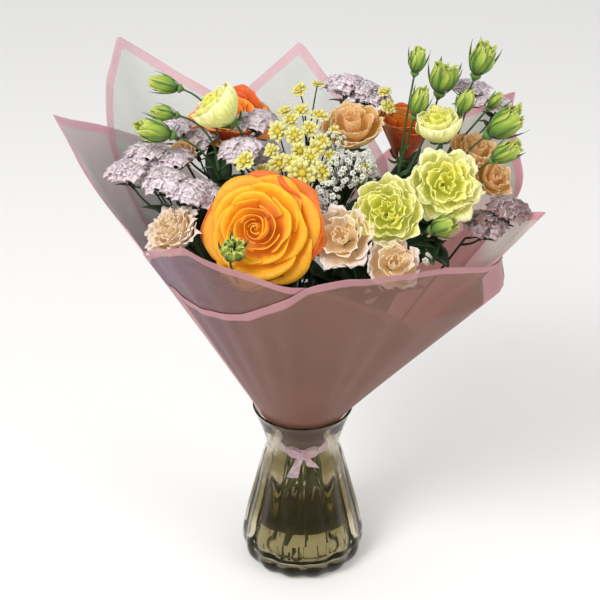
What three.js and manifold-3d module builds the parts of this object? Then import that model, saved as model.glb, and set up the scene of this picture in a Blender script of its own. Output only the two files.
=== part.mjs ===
// A mixed hand-tied bouquet, wrapped in film and standing in a fluted glass vase of water.
// Millimetres, +Z up. The origin is the centre of the vase's underside, and the bouquet's
// front faces -Y.
import * as THREE from 'three';
import { mergeVertices } from 'three/addons/utils/BufferGeometryUtils.js';
import Module from 'manifold-3d';

const wasm = await Module();
wasm.setup();

// ---------------------------------------------------------------- driving dimensions

// The vase: radius and height along its outside and its inside, from the foot up.
const VASE_OUTSIDE = [[0, 0], [52, 0], [62, 4], [67, 20], [63, 50], [44, 127], [39, 143],
  [45, 167], [53.5, 191]];
const VASE_INSIDE = [[50.8, 191], [42, 167], [36, 143], [40.5, 127], [58.5, 50], [61, 26],
  [50, 9], [0, 9]];
const VASE_HEIGHT = 191;
const FLUTES = 14;
const VASE_SIDES = FLUTES * 2;
const FLUTE_DEPTH = 3;
const FLUTE_TOP = 135;

const WATER_LEVEL = 58;
const WATER_GAP = 0.4;

// The stems: three rings of places at the binding point.
const BINDING_HEIGHT = 148;
const FOOT_HEIGHT = 34;
const RINGS = {
  inner: { radius: 3.2, spread: 0.12 },
  middle: { radius: 8.4, spread: 0.24 },
  outer: { radius: 13.8, spread: 0.35 },
};
const STEM_SIDES = 4;
const HOLE_GAP = 0.45;

const TIE = { inside: 16.9, outside: 18.3, bottom: 143.5, top: 152.5 };

// The film: every sheet lies on one gathered, flaring surface, layer outside layer.
const FILM = {
  thickness: 0.8,
  layer: 1.3,
  bottom: 139,
  neckTop: 150,
  rimHeight: 191,
  neckRadius: 19.5,
  rimRadius: 43.6,
};
// How fast the surface flares above the vase's rim, by the angle round it in degrees.
const FLARE = [[-180, 0.60], [-150, 0.545], [-120, 0.505], [-90, 0.507], [-60, 0.60],
  [-36, 0.71], [-15, 0.756], [0, 0.70], [20, 0.59], [50, 0.48], [90, 0.415], [115, 0.50],
  [139, 0.61], [160, 0.61], [180, 0.60]];
// The shared fold lines of the sheets, in degrees round the vase.
const FOLDS = [-180, -169, -155, -141, -127, -115, -103, -90, -77, -64, -50, -36, -22, -14,
  -3, 9, 21, 31, 44, 55, 67, 79, 91, 103, 115, 127, 139, 149, 160, 170];
const FILM_ROWS = [FILM.bottom, FILM.neckTop, FILM.rimHeight, 300, 410, 575];
// The outermost sheet bows out at its right corner.
const BOWED_LAYER = 4;
const CORNER_BOW = { angle: -18, reach: 48, start: 300, startShare: 0.62, height: 362,
  fade: 388, depth: 26 };
const BOWED_ROWS = [FILM.bottom, FILM.neckTop, FILM.rimHeight, CORNER_BOW.start,
  CORNER_BOW.height, CORNER_BOW.fade, 575];
// The block that trims a sheet's top edge: how far it reaches, and where it is level.
const TRIM = { inner: 20, before: 6, past: 8, outer: 420, top: 600 };

// Each sheet: its layer from the inside out and its top edge as [angle, height] points.
const SHEETS = {
  wrap_back: { layer: 0, edge: [[44, 380], [55, 420], [67, 453], [79, 488], [91, 529],
    [103, 495], [115, 464], [127, 425]] },
  wrap_back_left: { layer: 1, edge: [[91, 390], [103, 436], [115, 466], [127, 496],
    [139, 540], [149, 509], [160, 460], [170, 390]] },
  wrap_back_right: { layer: 1, edge: [[-3, 415], [9, 454], [21, 509], [31, 486],
    [44, 455], [55, 427], [67, 385]] },
  wrap_left: { layer: 2, edge: [[127, 385], [139, 430], [149, 453], [160, 476], [170, 494],
    [180, 515], [191, 480], [203, 425]] },
  wrap_right: { layer: 2, edge: [[-50, 345], [-36, 405], [-22, 452],
    [-14, 438], [-3, 416], [9, 385], [21, 335]] },
  wrap_front_left: { layer: 3, edge: [[-169, 370], [-155, 403], [-141, 425], [-127, 441],
    [-115, 427], [-103, 418], [-90, 411], [-77, 399], [-64, 381], [-50, 350], [-36, 310]] },
  wrap_front_right: { layer: 4, edge: [[-155, 364], [-141, 356], [-127, 357], [-115, 364],
    [-103, 382], [-90, 409], [-77, 425], [-64, 431], [-50, 428], [-36, 414], [-22, 398],
    [-14, 389], [-3, 366], [9, 325]] },
};

const RIBBON = { gap: 0.4, thickness: 1, bottom: 140.5, top: 148.5 };
const LOOP = { reach: 8.5, lift: 4.4, halfWidth: 2.4, thickness: 0.7 };
const BAND_SIDES = 14;

const PETAL_THICKNESS = 0.8;
const LEAF_THICKNESS = 0.9;
const LEAF_DROOP = 0.25;
const SEAT_GAP = 0.35;
const FORK_STEP = 7;

// ---------------------------------------------------------------- materials

function paint(color, roughness, metalness = 0, opacity = 1) {
  return new THREE.MeshStandardMaterial({
    color, roughness, metalness, opacity, transparent: opacity < 1, side: THREE.DoubleSide,
  });
}

const GLASS = paint(0x7d7666, 0.08, 0, 0.45);
const WATER = paint(0x8f8a78, 0.05, 0, 0.4);
const FILM_GREY = paint(0xcdd0c8, 0.45, 0, 0.6);
const RIBBON_LILAC = paint(0xc9a9cf, 0.3);
const TIE_GREEN = paint(0x5f7a4a, 0.7);
const ROSE_ORANGE = paint(0xf59a1c, 0.6);
const ROSE_RED_ORANGE = paint(0xe2601f, 0.6);
const YELLOW_PETAL = paint(0xe3e47a, 0.65);
const CREAM_PETAL = paint(0xf3dfc6, 0.65);
const APRICOT_PETAL = paint(0xe4b184, 0.65);
const STEM_GREEN = paint(0x4f7a35, 0.6);
const STATICE_LILAC = paint(0xd5c6dd, 0.75);
const SANTINI_YELLOW = paint(0xefe87c, 0.7);
const GYPSOPHILA_WHITE = paint(0xf2f2e6, 0.75);

// ---------------------------------------------------------------- small helpers

const { degToRad: radians, lerp, smoothstep, clamp } = THREE.MathUtils;
const vector = (list) => new THREE.Vector3(...list);
const bouquet = new THREE.Group();

function seeded(seed) {
  let state = seed;
  return () => {
    state = (state * 1664525 + 1013904223) % 4294967296;
    return state / 4294967296;
  };
}

// Reads a table of [x, y] points at x, with a smooth step between neighbours.
function readTable(table, x, soft = false) {
  const last = table.length - 1;
  if (x <= table[0][0]) return table[0][1];
  if (x >= table[last][0]) return table[last][1];
  const i = table.findIndex((point) => point[0] > x);
  const t = (x - table[i - 1][0]) / (table[i][0] - table[i - 1][0]);
  return lerp(table[i - 1][1], table[i][1], soft ? t * t * (3 - 2 * t) : t);
}

// A closed mesh as a solid, with its faces turned outward.
function solidOf(geometry) {
  const bare = new THREE.BufferGeometry();
  bare.setAttribute('position', geometry.getAttribute('position'));
  if (geometry.index) bare.setIndex(geometry.index);
  const merged = mergeVertices(bare, 1e-4);
  const points = merged.getAttribute('position').array;
  const corners = merged.index.array;
  const triangles = [];
  let volume = 0;
  const at = (index) => vector(points.slice(index * 3, index * 3 + 3));
  for (let i = 0; i < corners.length; i += 3) {
    const [a, b, c] = corners.slice(i, i + 3);
    if (a === b || b === c || c === a) continue;
    triangles.push([a, b, c]);
    volume += at(a).dot(at(b).cross(at(c)));
  }
  const turned = volume < 0 ? triangles.map(([a, b, c]) => [a, c, b]) : triangles;
  return new wasm.Manifold(new wasm.Mesh({
    numProp: 3,
    vertProperties: new Float32Array(points),
    triVerts: new Uint32Array(turned.flat()),
  }));
}

// Joins solids into one body: scraps that touch nothing are dropped, and sealed hollows fill.
function fuse(solids) {
  const pieces = wasm.Manifold.union(solids).decompose();
  return pieces.reduce((best, piece) => (piece.volume() > best.volume() ? piece : best));
}

function geometryOf(solid) {
  const mesh = solid.getMesh();
  const geometry = new THREE.BufferGeometry();
  geometry.setAttribute('position', new THREE.BufferAttribute(mesh.vertProperties, 3));
  geometry.setIndex(new THREE.BufferAttribute(mesh.triVerts, 1));
  geometry.computeVertexNormals();
  return geometry;
}

function addPiece(name, solid, material) {
  const mesh = new THREE.Mesh(geometryOf(solid), material);
  mesh.name = name;
  bouquet.add(mesh);
  return mesh;
}

// A closed slab between two faces given as point(u, v, side), with side 0 and 1. Both faces
// are split into triangles alike.
function slab(point, columns, rows) {
  const positions = [];
  const corners = [];
  const index = (i, j, side) => side * (columns + 1) * (rows + 1) + i * (rows + 1) + j;
  for (let side = 0; side < 2; side += 1) {
    for (let i = 0; i <= columns; i += 1) {
      for (let j = 0; j <= rows; j += 1) {
        positions.push(...point(i / columns, j / rows, side).toArray());
      }
    }
  }
  const quad = (a, b, c, d) => corners.push(a, b, c, a, c, d);
  for (let i = 0; i < columns; i += 1) {
    for (let j = 0; j < rows; j += 1) {
      quad(index(i, j, 0), index(i, j + 1, 0), index(i + 1, j + 1, 0), index(i + 1, j, 0));
      corners.push(index(i, j, 1), index(i + 1, j + 1, 1), index(i, j + 1, 1));
      corners.push(index(i, j, 1), index(i + 1, j, 1), index(i + 1, j + 1, 1));
    }
  }
  for (let i = 0; i < columns; i += 1) {
    quad(index(i, 0, 0), index(i + 1, 0, 0), index(i + 1, 0, 1), index(i, 0, 1));
    quad(index(i + 1, rows, 0), index(i, rows, 0), index(i, rows, 1), index(i + 1, rows, 1));
  }
  for (let j = 0; j < rows; j += 1) {
    quad(index(0, j + 1, 0), index(0, j, 0), index(0, j, 1), index(0, j + 1, 1));
    quad(index(columns, j, 0), index(columns, j + 1, 0), index(columns, j + 1, 1),
      index(columns, j, 1));
  }
  const geometry = new THREE.BufferGeometry();
  geometry.setAttribute('position', new THREE.Float32BufferAttribute(positions, 3));
  geometry.setIndex(corners);
  return geometry;
}

// A thin blade round a surface(u, v), with u from -1 to 1 and v from 0 to 1.
function blade(surface, columns, rows, thickness) {
  const step = 0.02;
  const point = (i, v, side) => {
    const u = i * 2 - 1;
    const here = surface(u, v);
    const acrossBlade = surface(u + step, v).sub(surface(u - step, v));
    const alongBlade = surface(u, v + step).sub(surface(u, v - step));
    const normal = acrossBlade.cross(alongBlade).normalize();
    return here.addScaledVector(normal, (side - 0.5) * thickness);
  };
  return slab(point, columns, rows);
}

// A turned shape about +Z from [radius, height] points that start and end on the axis.
function turned(profile, sides) {
  const points = profile.map(([radius, height]) => new THREE.Vector2(radius, height));
  return new THREE.LatheGeometry(points, sides).rotateX(Math.PI / 2);
}

// A route through given points, sampled exactly at them.
class Route extends THREE.Curve {
  constructor(points) {
    super();
    this.points = points;
  }

  getPoint(t) {
    const place = clamp(t, 0, 1) * (this.points.length - 1);
    const i = Math.min(Math.floor(place), this.points.length - 2);
    return this.points[i].clone().lerp(this.points[i + 1], place - i);
  }

  getUtoTmapping(u) {
    return u;
  }
}

// A tube along points, closed by flat ends.
function tube(points, radius, sides = 4) {
  const section = new THREE.Shape();
  for (let k = 0; k < sides; k += 1) {
    const angle = (k / sides) * Math.PI * 2;
    const corner = [radius * Math.cos(angle), radius * Math.sin(angle)];
    if (k === 0) section.moveTo(...corner);
    else section.lineTo(...corner);
  }
  const settings = { steps: points.length - 1, extrudePath: new Route(points) };
  return new THREE.ExtrudeGeometry(section, settings);
}

// Points along a bend that leaves `from` and arrives at `to` along `arrival`.
function bend(from, to, arrival, steps = 3, pull = 0.5) {
  const reach = from.distanceTo(to) * pull;
  const control = to.clone().addScaledVector(arrival, -reach);
  return new THREE.QuadraticBezierCurve3(from, control, to).getPoints(steps);
}

// Moves a shape made along +Z so that its origin is at a place and +Z points along facing.
function aim(geometry, place, facing, spin = 0) {
  const turn = new THREE.Quaternion().setFromUnitVectors(new THREE.Vector3(0, 0, 1), facing);
  return geometry.rotateZ(spin).applyQuaternion(turn).translate(place.x, place.y, place.z);
}

// ---------------------------------------------------------------- vase, water and film

// The flutes: the outside wall dips between ribs, most at the foot and none at the neck.
function flute(geometry) {
  const position = geometry.getAttribute('position');
  for (let i = 0; i < position.count; i += 1) {
    const x = position.getX(i);
    const y = position.getY(i);
    const z = position.getZ(i);
    const wave = (1 - Math.cos(FLUTES * Math.atan2(y, x))) / 2;
    const strength = 1 - smoothstep(z, 60, FLUTE_TOP);
    const radius = Math.hypot(x, y);
    if (radius > 1) {
      const scale = 1 - (FLUTE_DEPTH * wave * strength) / radius;
      position.setXY(i, x * scale, y * scale);
    }
  }
  return geometry;
}

function makeVase() {
  const body = solidOf(flute(turned([...VASE_OUTSIDE, [0, VASE_HEIGHT]], VASE_SIDES)));
  const above = VASE_HEIGHT + 9;
  const mouth = VASE_INSIDE[0][0] + 3.2;
  const hollow = solidOf(turned([[0, above], [mouth, above], ...VASE_INSIDE].reverse(),
    VASE_SIDES));
  addPiece('vase', body.subtract(hollow), GLASS);
}

function makeWater(holes) {
  const wall = VASE_INSIDE.filter(([, height]) => height < WATER_LEVEL).reverse();
  const surfaceRadius = readTable([...VASE_INSIDE].map(([r, z]) => [z, r])
    .sort((a, b) => a[0] - b[0]), WATER_LEVEL);
  const outline = wall.map(([radius, height]) => [Math.max(radius - WATER_GAP, 0),
    height + (radius < 55 ? WATER_GAP : 0)]);
  outline.push([surfaceRadius - WATER_GAP, WATER_LEVEL], [0, WATER_LEVEL]);
  const body = solidOf(turned(outline, VASE_SIDES));
  addPiece('water', body.subtract(wasm.Manifold.union(holes)), WATER);
}

function filmRadius(angle, height, layer) {
  const wrapped = ((((angle + 180) % 360) + 360) % 360) - 180;
  const offset = layer * FILM.layer;
  if (height <= FILM.neckTop) return FILM.neckRadius + offset;
  const neck = readTable([[FILM.neckTop, FILM.neckRadius], [FILM.rimHeight, FILM.rimRadius]],
    height);
  if (height <= FILM.rimHeight) return neck + offset;
  const rise = height - FILM.rimHeight;
  const away = clamp(Math.abs(wrapped - CORNER_BOW.angle) / CORNER_BOW.reach, 0, 1);
  const climb = readTable([[FILM.rimHeight, 0], [CORNER_BOW.start, CORNER_BOW.startShare],
    [CORNER_BOW.height, 1], [CORNER_BOW.fade, 0]], height);
  const bow = layer === BOWED_LAYER ? CORNER_BOW.depth * climb * (1 - away * away) ** 2 : 0;
  return neck + readTable(FLARE, wrapped, true) * rise + offset + bow;
}

function filmPoint(angle, height, layer, out = 0) {
  const radius = filmRadius(angle, height, layer) + out;
  const turn = radians(angle);
  return new THREE.Vector3(radius * Math.cos(turn), radius * Math.sin(turn), height);
}

function makeSheet(name, { layer, edge }) {
  const first = edge[0][0];
  const last = edge[edge.length - 1][0];
  const folds = [...FOLDS, ...FOLDS.map((angle) => angle + 360)]
    .filter((angle) => angle >= first && angle <= last);
  const rows = layer === BOWED_LAYER ? BOWED_ROWS : FILM_ROWS;
  const film = slab((u, v, side) => {
    const angle = folds[Math.round(u * (folds.length - 1))];
    const height = rows[Math.round(v * (rows.length - 1))];
    return filmPoint(angle, height, layer, side * FILM.thickness);
  }, folds.length - 1, rows.length - 1);
  const cutFolds = [first - 2, ...folds.slice(1, -1), last + 2];
  const above = slab((u, v, side) => {
    const angle = cutFolds[Math.round(u * (cutFolds.length - 1))];
    const edgeHeight = readTable(edge, angle);
    const edgeRadius = filmRadius(angle, edgeHeight, layer);
    const radius = [TRIM.inner, edgeRadius - TRIM.before, edgeRadius + TRIM.past,
      TRIM.outer][Math.round(v * 3)];
    const turn = radians(angle);
    return new THREE.Vector3(radius * Math.cos(turn), radius * Math.sin(turn),
      side === 0 ? edgeHeight : TRIM.top);
  }, cutFolds.length - 1, 3);
  addPiece(name, solidOf(film).subtract(solidOf(above)), FILM_GREY);
}

function ringSolid(inside, outside, bottom, top, sides) {
  const outer = solidOf(turned([[0, bottom], [outside, bottom], [outside, top], [0, top]], sides));
  const bore = solidOf(turned([[0, bottom - 1], [inside, bottom - 1], [inside, top + 1],
    [0, top + 1]], sides));
  return outer.subtract(bore);
}

function makeTie() {
  addPiece('stem_tie', ringSolid(TIE.inside, TIE.outside, TIE.bottom, TIE.top, BAND_SIDES), TIE_GREEN);
}

// The ribbon: a band round the gathered film, two loops and two tails at the front.
function makeRibbon() {
  const inside = FILM.neckRadius + BOWED_LAYER * FILM.layer + FILM.thickness + RIBBON.gap;
  const outside = inside + RIBBON.thickness;
  const flatten = Math.cos(Math.PI / BAND_SIDES);
  const band = ringSolid(inside / flatten, outside / flatten, RIBBON.bottom, RIBBON.top,
    BAND_SIDES);
  const middle = (RIBBON.bottom + RIBBON.top) / 2;
  const front = -outside - 0.6;
  const knot = new THREE.BoxGeometry(6, 3.4, 6.5).translate(0, front, middle);
  const loop = (side) => blade((u, v) => {
    const swing = Math.PI * 2 * v;
    const reach = LOOP.reach * (1 - Math.cos(swing));
    const lift = LOOP.lift * Math.sin(swing);
    return new THREE.Vector3(side * (reach * 0.92 + 0.8), front - 2.2 + reach * 0.04
      + u * LOOP.halfWidth, middle + lift + reach * 0.38);
  }, 1, 7, LOOP.thickness);
  const tail = (side, length) => blade((u, v) => new THREE.Vector3(
    side * (1.5 + v * 8) + u * 3.2, front - 0.8 - v * 1.6, middle - 1 - v * length),
  1, 2, LOOP.thickness);
  const pieces = [knot, loop(1), loop(-1), tail(1, 17), tail(-1, 22)].map(solidOf);
  addPiece('ribbon_bow', fuse([band, ...pieces]), RIBBON_LILAC);
}

// ---------------------------------------------------------------- the hand-tied stems

// Each stem: its ring at the binding point, the top of its straight part and its radius.
const STEMS = {
  rose_front: { ring: 'middle', top: [-27, -34, 378], radius: 2.2 },
  rose_left: { ring: 'outer', top: [-62, 72, 425], radius: 2.1 },
  rose_right: { ring: 'outer', top: [98, 60, 420], radius: 2.1 },
  lisianthus_left: { ring: 'middle', top: [-84, 6, 452], radius: 1.5 },
  lisianthus_centre: { ring: 'outer', top: [76, -30, 392], radius: 1.5 },
  lisianthus_right: { ring: 'outer', top: [135, -12, 420], radius: 1.6 },
  lisianthus_back: { ring: 'outer', top: [95, 16, 436], radius: 1.6 },
  lisianthus_front: { ring: 'outer', top: [-58, -108, 385], radius: 1.3 },
  peach_front: { ring: 'outer', top: [52, -58, 362], radius: 1.6 },
  peach_left: { ring: 'outer', top: [-96, -42, 378], radius: 1.6 },
  peach_back: { ring: 'inner', top: [42, 14, 435], radius: 1.6 },
  peach_right: { ring: 'outer', top: [145, 6, 412], radius: 1.6 },
  peach_small: { ring: 'outer', top: [-98, 12, 428], radius: 1.4 },
  statice_left: { ring: 'outer', top: [-108, -22, 408], radius: 1.5 },
  statice_middle_left: { ring: 'middle', top: [-92, 22, 440], radius: 1.4 },
  statice_centre: { ring: 'inner', top: [-42, 12, 448], radius: 1.4 },
  statice_back: { ring: 'middle', top: [44, 50, 468], radius: 1.5 },
  statice_back_right: { ring: 'outer', top: [150, 40, 470], radius: 1.4 },
  statice_right: { ring: 'outer', top: [158, -30, 398], radius: 1.4 },
  santini_front: { ring: 'inner', top: [-3, -16, 428], radius: 1.3 },
  santini_back: { ring: 'middle', top: [4, 36, 462], radius: 1.3 },
  gypsophila: { ring: 'middle', top: [34, -28, 425], radius: 1.1 },
};

const polar = (radius, angle, height) => new THREE.Vector3(radius * Math.cos(angle),
  radius * Math.sin(angle), height);

// A stem is a straight line that touches its ring at the binding point, so all of them cross
// there in one spiral. Within a ring they keep the order of their directions.
function placeStems() {
  Object.values(RINGS).forEach((ring) => {
    const members = Object.values(STEMS).filter((stem) => RINGS[stem.ring] === ring);
    members.forEach((stem) => {
      const [x, y, z] = stem.top;
      const rise = z - BINDING_HEIGHT;
      const reach = Math.sqrt(Math.max(x * x + y * y - ring.radius ** 2, 4));
      stem.slope = reach / rise;
      stem.wanted = Math.atan2(y, x) - Math.atan2(reach, ring.radius);
    });
    members.sort((a, b) => a.wanted - b.wanted);
    const pitch = (Math.PI * 2) / members.length;
    const start = members.reduce((sum, stem, i) => sum + stem.wanted - i * pitch, 0)
      / members.length;
    members.forEach((stem, i) => {
      stem.slot = start + i * pitch;
    });
  });
}

function stemPoint(stem, height) {
  const ring = RINGS[stem.ring];
  const rise = height - BINDING_HEIGHT;
  if (rise < 0) {
    const spread = -rise * ring.spread;
    return polar(Math.hypot(ring.radius, spread), stem.slot - Math.atan2(spread, ring.radius),
      height);
  }
  const share = rise / (stem.top[2] - BINDING_HEIGHT);
  const drift = (stem.wanted - stem.slot) * smoothstep(share, 0, 1);
  const spread = stem.slope * rise;
  return polar(Math.hypot(ring.radius, spread),
    stem.slot + Math.atan2(spread, ring.radius) + drift, height);
}

function stemPoints(stem) {
  const top = stem.top[2];
  const steps = [0, 0.14, 0.5].map((share) => lerp(BINDING_HEIGHT, top, share));
  return [FOOT_HEIGHT, ...steps].map((height) => stemPoint(stem, height))
    .concat([vector(stem.top)]);
}

function stemSolid(stem) {
  return solidOf(tube(stemPoints(stem), stem.radius, STEM_SIDES));
}

// The hole that a stem stands in, a little wider and deeper than the stem.
function holeSolid(stem) {
  const heights = [FOOT_HEIGHT - 1.2, WATER_LEVEL + 12];
  const points = heights.map((height) => stemPoint(stem, height));
  return solidOf(tube(points, stem.radius + HOLE_GAP, STEM_SIDES));
}

// ---------------------------------------------------------------- petals and blooms

// One petal of a bloom that faces +Z, rooted at the bloom's heart. `ring` holds its radius
// and height at both ends, its half width in degrees, and how it opens, cups and ruffles.
function petal(ring, angle, columns, rows) {
  return blade((u, v) => {
    const t = clamp(v * (1 - ring.tip * u * u), 0, 1);
    const width = ring.half * (0.5 + 0.5 * Math.sin(clamp(v * 1.25, 0, 1) * Math.PI / 2));
    const turn = angle + radians(width) * u;
    const wave = ring.ruffle * Math.sin(u * Math.PI * ring.waves + angle * 3) * t * t;
    const curl = ring.curl * t ** 5;
    const radius = lerp(ring.r0, ring.r1, t ** ring.open) + ring.lap * u * t + wave * 0.4 + curl;
    const height = lerp(ring.z0, ring.z1, 1 - (1 - t) ** ring.cup) + wave - curl * 0.6;
    return polar(radius, turn, height);
  }, columns, rows, PETAL_THICKNESS);
}

// The furled heart of a bloom: a turned cup whose rim waves in lobes.
function heart(profile, sides, wave) {
  const cup = turned(profile, sides);
  const position = cup.getAttribute('position');
  const rim = Math.max(...profile.map(([, height]) => height));
  for (let i = 0; i < position.count; i += 1) {
    const angle = Math.atan2(position.getY(i), position.getX(i));
    const lobe = Math.cos((angle * sides) / 2) * (position.getZ(i) / rim) ** 2;
    const reach = 1 + lobe * wave;
    position.setXYZ(i, position.getX(i) * reach, position.getY(i) * reach,
      position.getZ(i) * (1 + lobe * wave * 0.4));
  }
  return solidOf(cup);
}

function bloomSolid(core, rings) {
  const petals = rings.flatMap((ring) => Array.from({ length: ring.count }, (_, k) => {
    const angle = radians(ring.start + (360 / ring.count) * k);
    return solidOf(petal(ring, angle, ring.columns, ring.rows));
  }));
  return fuse([core, ...petals]);
}

// A rose of outer radius R, measured as rings of a rose that is 56 mm in radius.
function roseRings(size, outerRings, tall) {
  const columns = size > 0.9 ? 3 : 2;
  const common = { tip: 0.2, ruffle: 0, waves: 1, cup: 1.5, open: 0.95, rows: 2 };
  const rings = [
    { count: 4, start: 40, r0: 10, r1: 29, z0: 22, z1: 49, half: 42, lap: 2, curl: 1,
      columns: 2 },
    { count: 5, start: 10, r0: 10, r1: 41, z0: 14, z1: 43, half: 34, lap: 2, curl: 2, columns },
    { count: 5, start: 46, r0: 9, r1: 52, z0: 6, z1: 33, half: 34, lap: 2, curl: 4, columns },
  ];
  return rings.filter((_, i) => outerRings.includes(i)).map((ring) => ({
    ...common,
    ...ring,
    r0: ring.r0 * size,
    r1: ring.r1 * size,
    z0: ring.z0 * size * tall,
    z1: ring.z1 * size * tall,
    lap: ring.lap * size,
    curl: ring.curl * size,
  }));
}

const ROSE_CORE = [[0, 0], [12, 5], [12, 28], [17, 50], [8, 49], [0, 36]];

// A double lisianthus bloom of outer radius R; `open` runs from a cup to a flat bloom.
function lisianthusRings(radius, open, ruffle) {
  const common = { tip: 0.12, columns: 2, rows: 2, cup: lerp(1.2, 2.2, open), curl: 0 };
  return [
    { ...common, count: 5, start: 0, r0: radius * 0.17, r1: radius * lerp(0.82, 0.95, open),
      z0: radius * 0.1, z1: radius * lerp(1.05, 0.72, open), half: 33, open: 0.85,
      lap: 1, ruffle: ruffle * radius, waves: 2 },
  ];
}

const lisianthusCore = (radius, open) => [[0, 0], [radius * 0.24, radius * 0.08],
  [radius * 0.26, radius * 0.4], [radius * 0.56, radius * lerp(0.98, 0.78, open)],
  [radius * 0.2, radius * 0.62], [0, radius * 0.42]];

// Each bloom: the stem that carries it, its centre, the way it faces, its radius and colour.
const ROSES = {
  rose_front_bloom: { stem: 'rose_front', centre: [-36, -92, 437], facing: [-0.1, -0.85, 0.5],
    radius: 57, tall: 1, rings: [0, 1, 2], material: ROSE_ORANGE },
  rose_left_bloom: { stem: 'rose_left', centre: [-72, 72, 476], facing: [0.05, -0.35, 0.93],
    radius: 45, tall: 1.3, rings: [1, 2], material: ROSE_RED_ORANGE },
  rose_right_bloom: { stem: 'rose_right', centre: [104, 66, 469], facing: [0.1, -0.3, 0.95],
    radius: 37, tall: 1.5, rings: [1, 2], material: ROSE_RED_ORANGE },
};

const BLOOMS = {
  lisianthus_left_bloom: { stem: 'lisianthus_left', centre: [-76, -8, 519],
    facing: [-0.62, -0.25, 0.74], radius: 30, open: 0.2, ruffle: 0.1, material: YELLOW_PETAL },
  lisianthus_centre_bloom: { stem: 'lisianthus_centre', centre: [78, -70, 443],
    facing: [-0.1, -0.78, 0.62], radius: 34, open: 0.9, ruffle: 0.09, material: YELLOW_PETAL },
  lisianthus_right_bloom: { stem: 'lisianthus_right', centre: [135, -46, 463],
    facing: [0.2, -0.8, 0.57], radius: 36, open: 0.9, ruffle: 0.09, material: YELLOW_PETAL },
  lisianthus_back_bloom: { stem: 'lisianthus_back', centre: [130, -4, 499],
    facing: [-0.2, -0.25, 0.95], radius: 24, open: 0.1, ruffle: 0.08, material: YELLOW_PETAL },
  peach_front_left_bloom: { stem: 'peach_front', centre: [37, -88, 422],
    facing: [-0.2, -0.8, 0.57], radius: 29, open: 0.8, ruffle: 0.05, material: CREAM_PETAL },
  peach_front_right_bloom: { stem: 'peach_front', centre: [84, -105, 403],
    facing: [0.2, -0.82, 0.54], radius: 26, open: 0.8, ruffle: 0.05, material: CREAM_PETAL },
  peach_left_bloom: { stem: 'peach_left', centre: [-119, -64, 417],
    facing: [-0.3, -0.65, 0.7], radius: 33, open: 0.7, ruffle: 0.1, material: CREAM_PETAL },
  peach_back_bloom: { stem: 'peach_back', centre: [49, 24, 489],
    facing: [-0.1, -0.35, 0.93], radius: 37, open: 0.6, ruffle: 0.1, material: APRICOT_PETAL },
  peach_right_bloom: { stem: 'peach_right', centre: [166, 13, 464],
    facing: [0.25, -0.3, 0.93], radius: 23, open: 0.5, ruffle: 0.1, material: APRICOT_PETAL },
  peach_right_low_bloom: { stem: 'peach_right', centre: [180, -12, 452],
    facing: [0.45, -0.6, 0.66], radius: 19, open: 0.5, ruffle: 0.1, material: APRICOT_PETAL },
  peach_small_bloom: { stem: 'peach_small', centre: [-118, 10, 468],
    facing: [-0.3, -0.4, 0.87], radius: 20, open: 0.5, ruffle: 0.08, material: APRICOT_PETAL },
};

// The seat of a bloom: the point on its stem's side where its heart begins.
function seatOf(bloom, depth) {
  return vector(bloom.centre).addScaledVector(vector(bloom.facing).normalize(), -depth);
}

const roseSeat = (bloom) => seatOf(bloom, bloom.radius * 0.6 * bloom.tall);
const lisianthusSeat = (bloom) => seatOf(bloom, bloom.radius * 0.5);

function makeBloom(name, bloom, solid, seat) {
  const mesh = addPiece(name, solid, bloom.material);
  const facing = vector(bloom.facing).normalize();
  mesh.quaternion.setFromUnitVectors(new THREE.Vector3(0, 0, 1), facing);
  mesh.position.copy(seat).addScaledVector(facing, SEAT_GAP);
}

function makeBlooms() {
  Object.entries(ROSES).forEach(([name, bloom]) => {
    const size = bloom.radius / 56;
    const rings = roseRings(size, bloom.rings, bloom.tall);
    const core = ROSE_CORE.map(([radius, height]) => [radius * size,
      height * size * bloom.tall]);
    const solid = bloomSolid(heart(core, 6, 0.1), rings);
    makeBloom(name, bloom, solid, roseSeat(bloom));
  });
  Object.entries(BLOOMS).forEach(([name, bloom]) => {
    const rings = lisianthusRings(bloom.radius, bloom.open, bloom.ruffle);
    const solid = bloomSolid(heart(lisianthusCore(bloom.radius, bloom.open), 8, 0.18), rings);
    makeBloom(name, bloom, solid, lisianthusSeat(bloom));
  });
}

// ---------------------------------------------------------------- leaves, buds and sprays

// A leaf from `root` along `way`, arching down towards its tip and folded at its rib.
function leaf(root, way, length, width, rows) {
  const along = vector(way).normalize();
  const across = new THREE.Vector3(0, 0, 1).cross(along).normalize();
  const up = along.clone().cross(across);
  return solidOf(blade((u, v) => {
    const t = clamp(v, 0, 1);
    const half = (width / 2) * (Math.sin(Math.PI * t ** 0.75) + 0.12 - t * 0.05);
    return root.clone()
      .addScaledVector(along, length * v)
      .addScaledVector(across, half * u)
      .addScaledVector(up, Math.abs(u) * half * 0.35 - LEAF_DROOP * length * v * v);
  }, 2, rows, LEAF_THICKNESS));
}

const BUD_SIDES = 6;

// A furled bud: a green calyx, a swollen body and a frilled tip.
function bud(place, facing, length, radius, spin) {
  const profile = [[0, 0], [radius * 0.95, length * 0.3], [radius * 0.74, length * 0.72],
    [radius * 0.85, length], [0, length * 0.86]];
  const shape = turned(profile, BUD_SIDES);
  const position = shape.getAttribute('position');
  for (let i = 0; i < position.count; i += 1) {
    const angle = Math.atan2(position.getY(i), position.getX(i));
    if (position.getZ(i) > length * 0.9) {
      const tooth = Math.cos((angle * BUD_SIDES) / 2) * 0.3;
      position.setXYZ(i, position.getX(i) * (1 + tooth), position.getY(i) * (1 + tooth),
        position.getZ(i) + tooth * length * 0.25);
    }
  }
  return solidOf(aim(shape, place, facing, spin));
}

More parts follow.
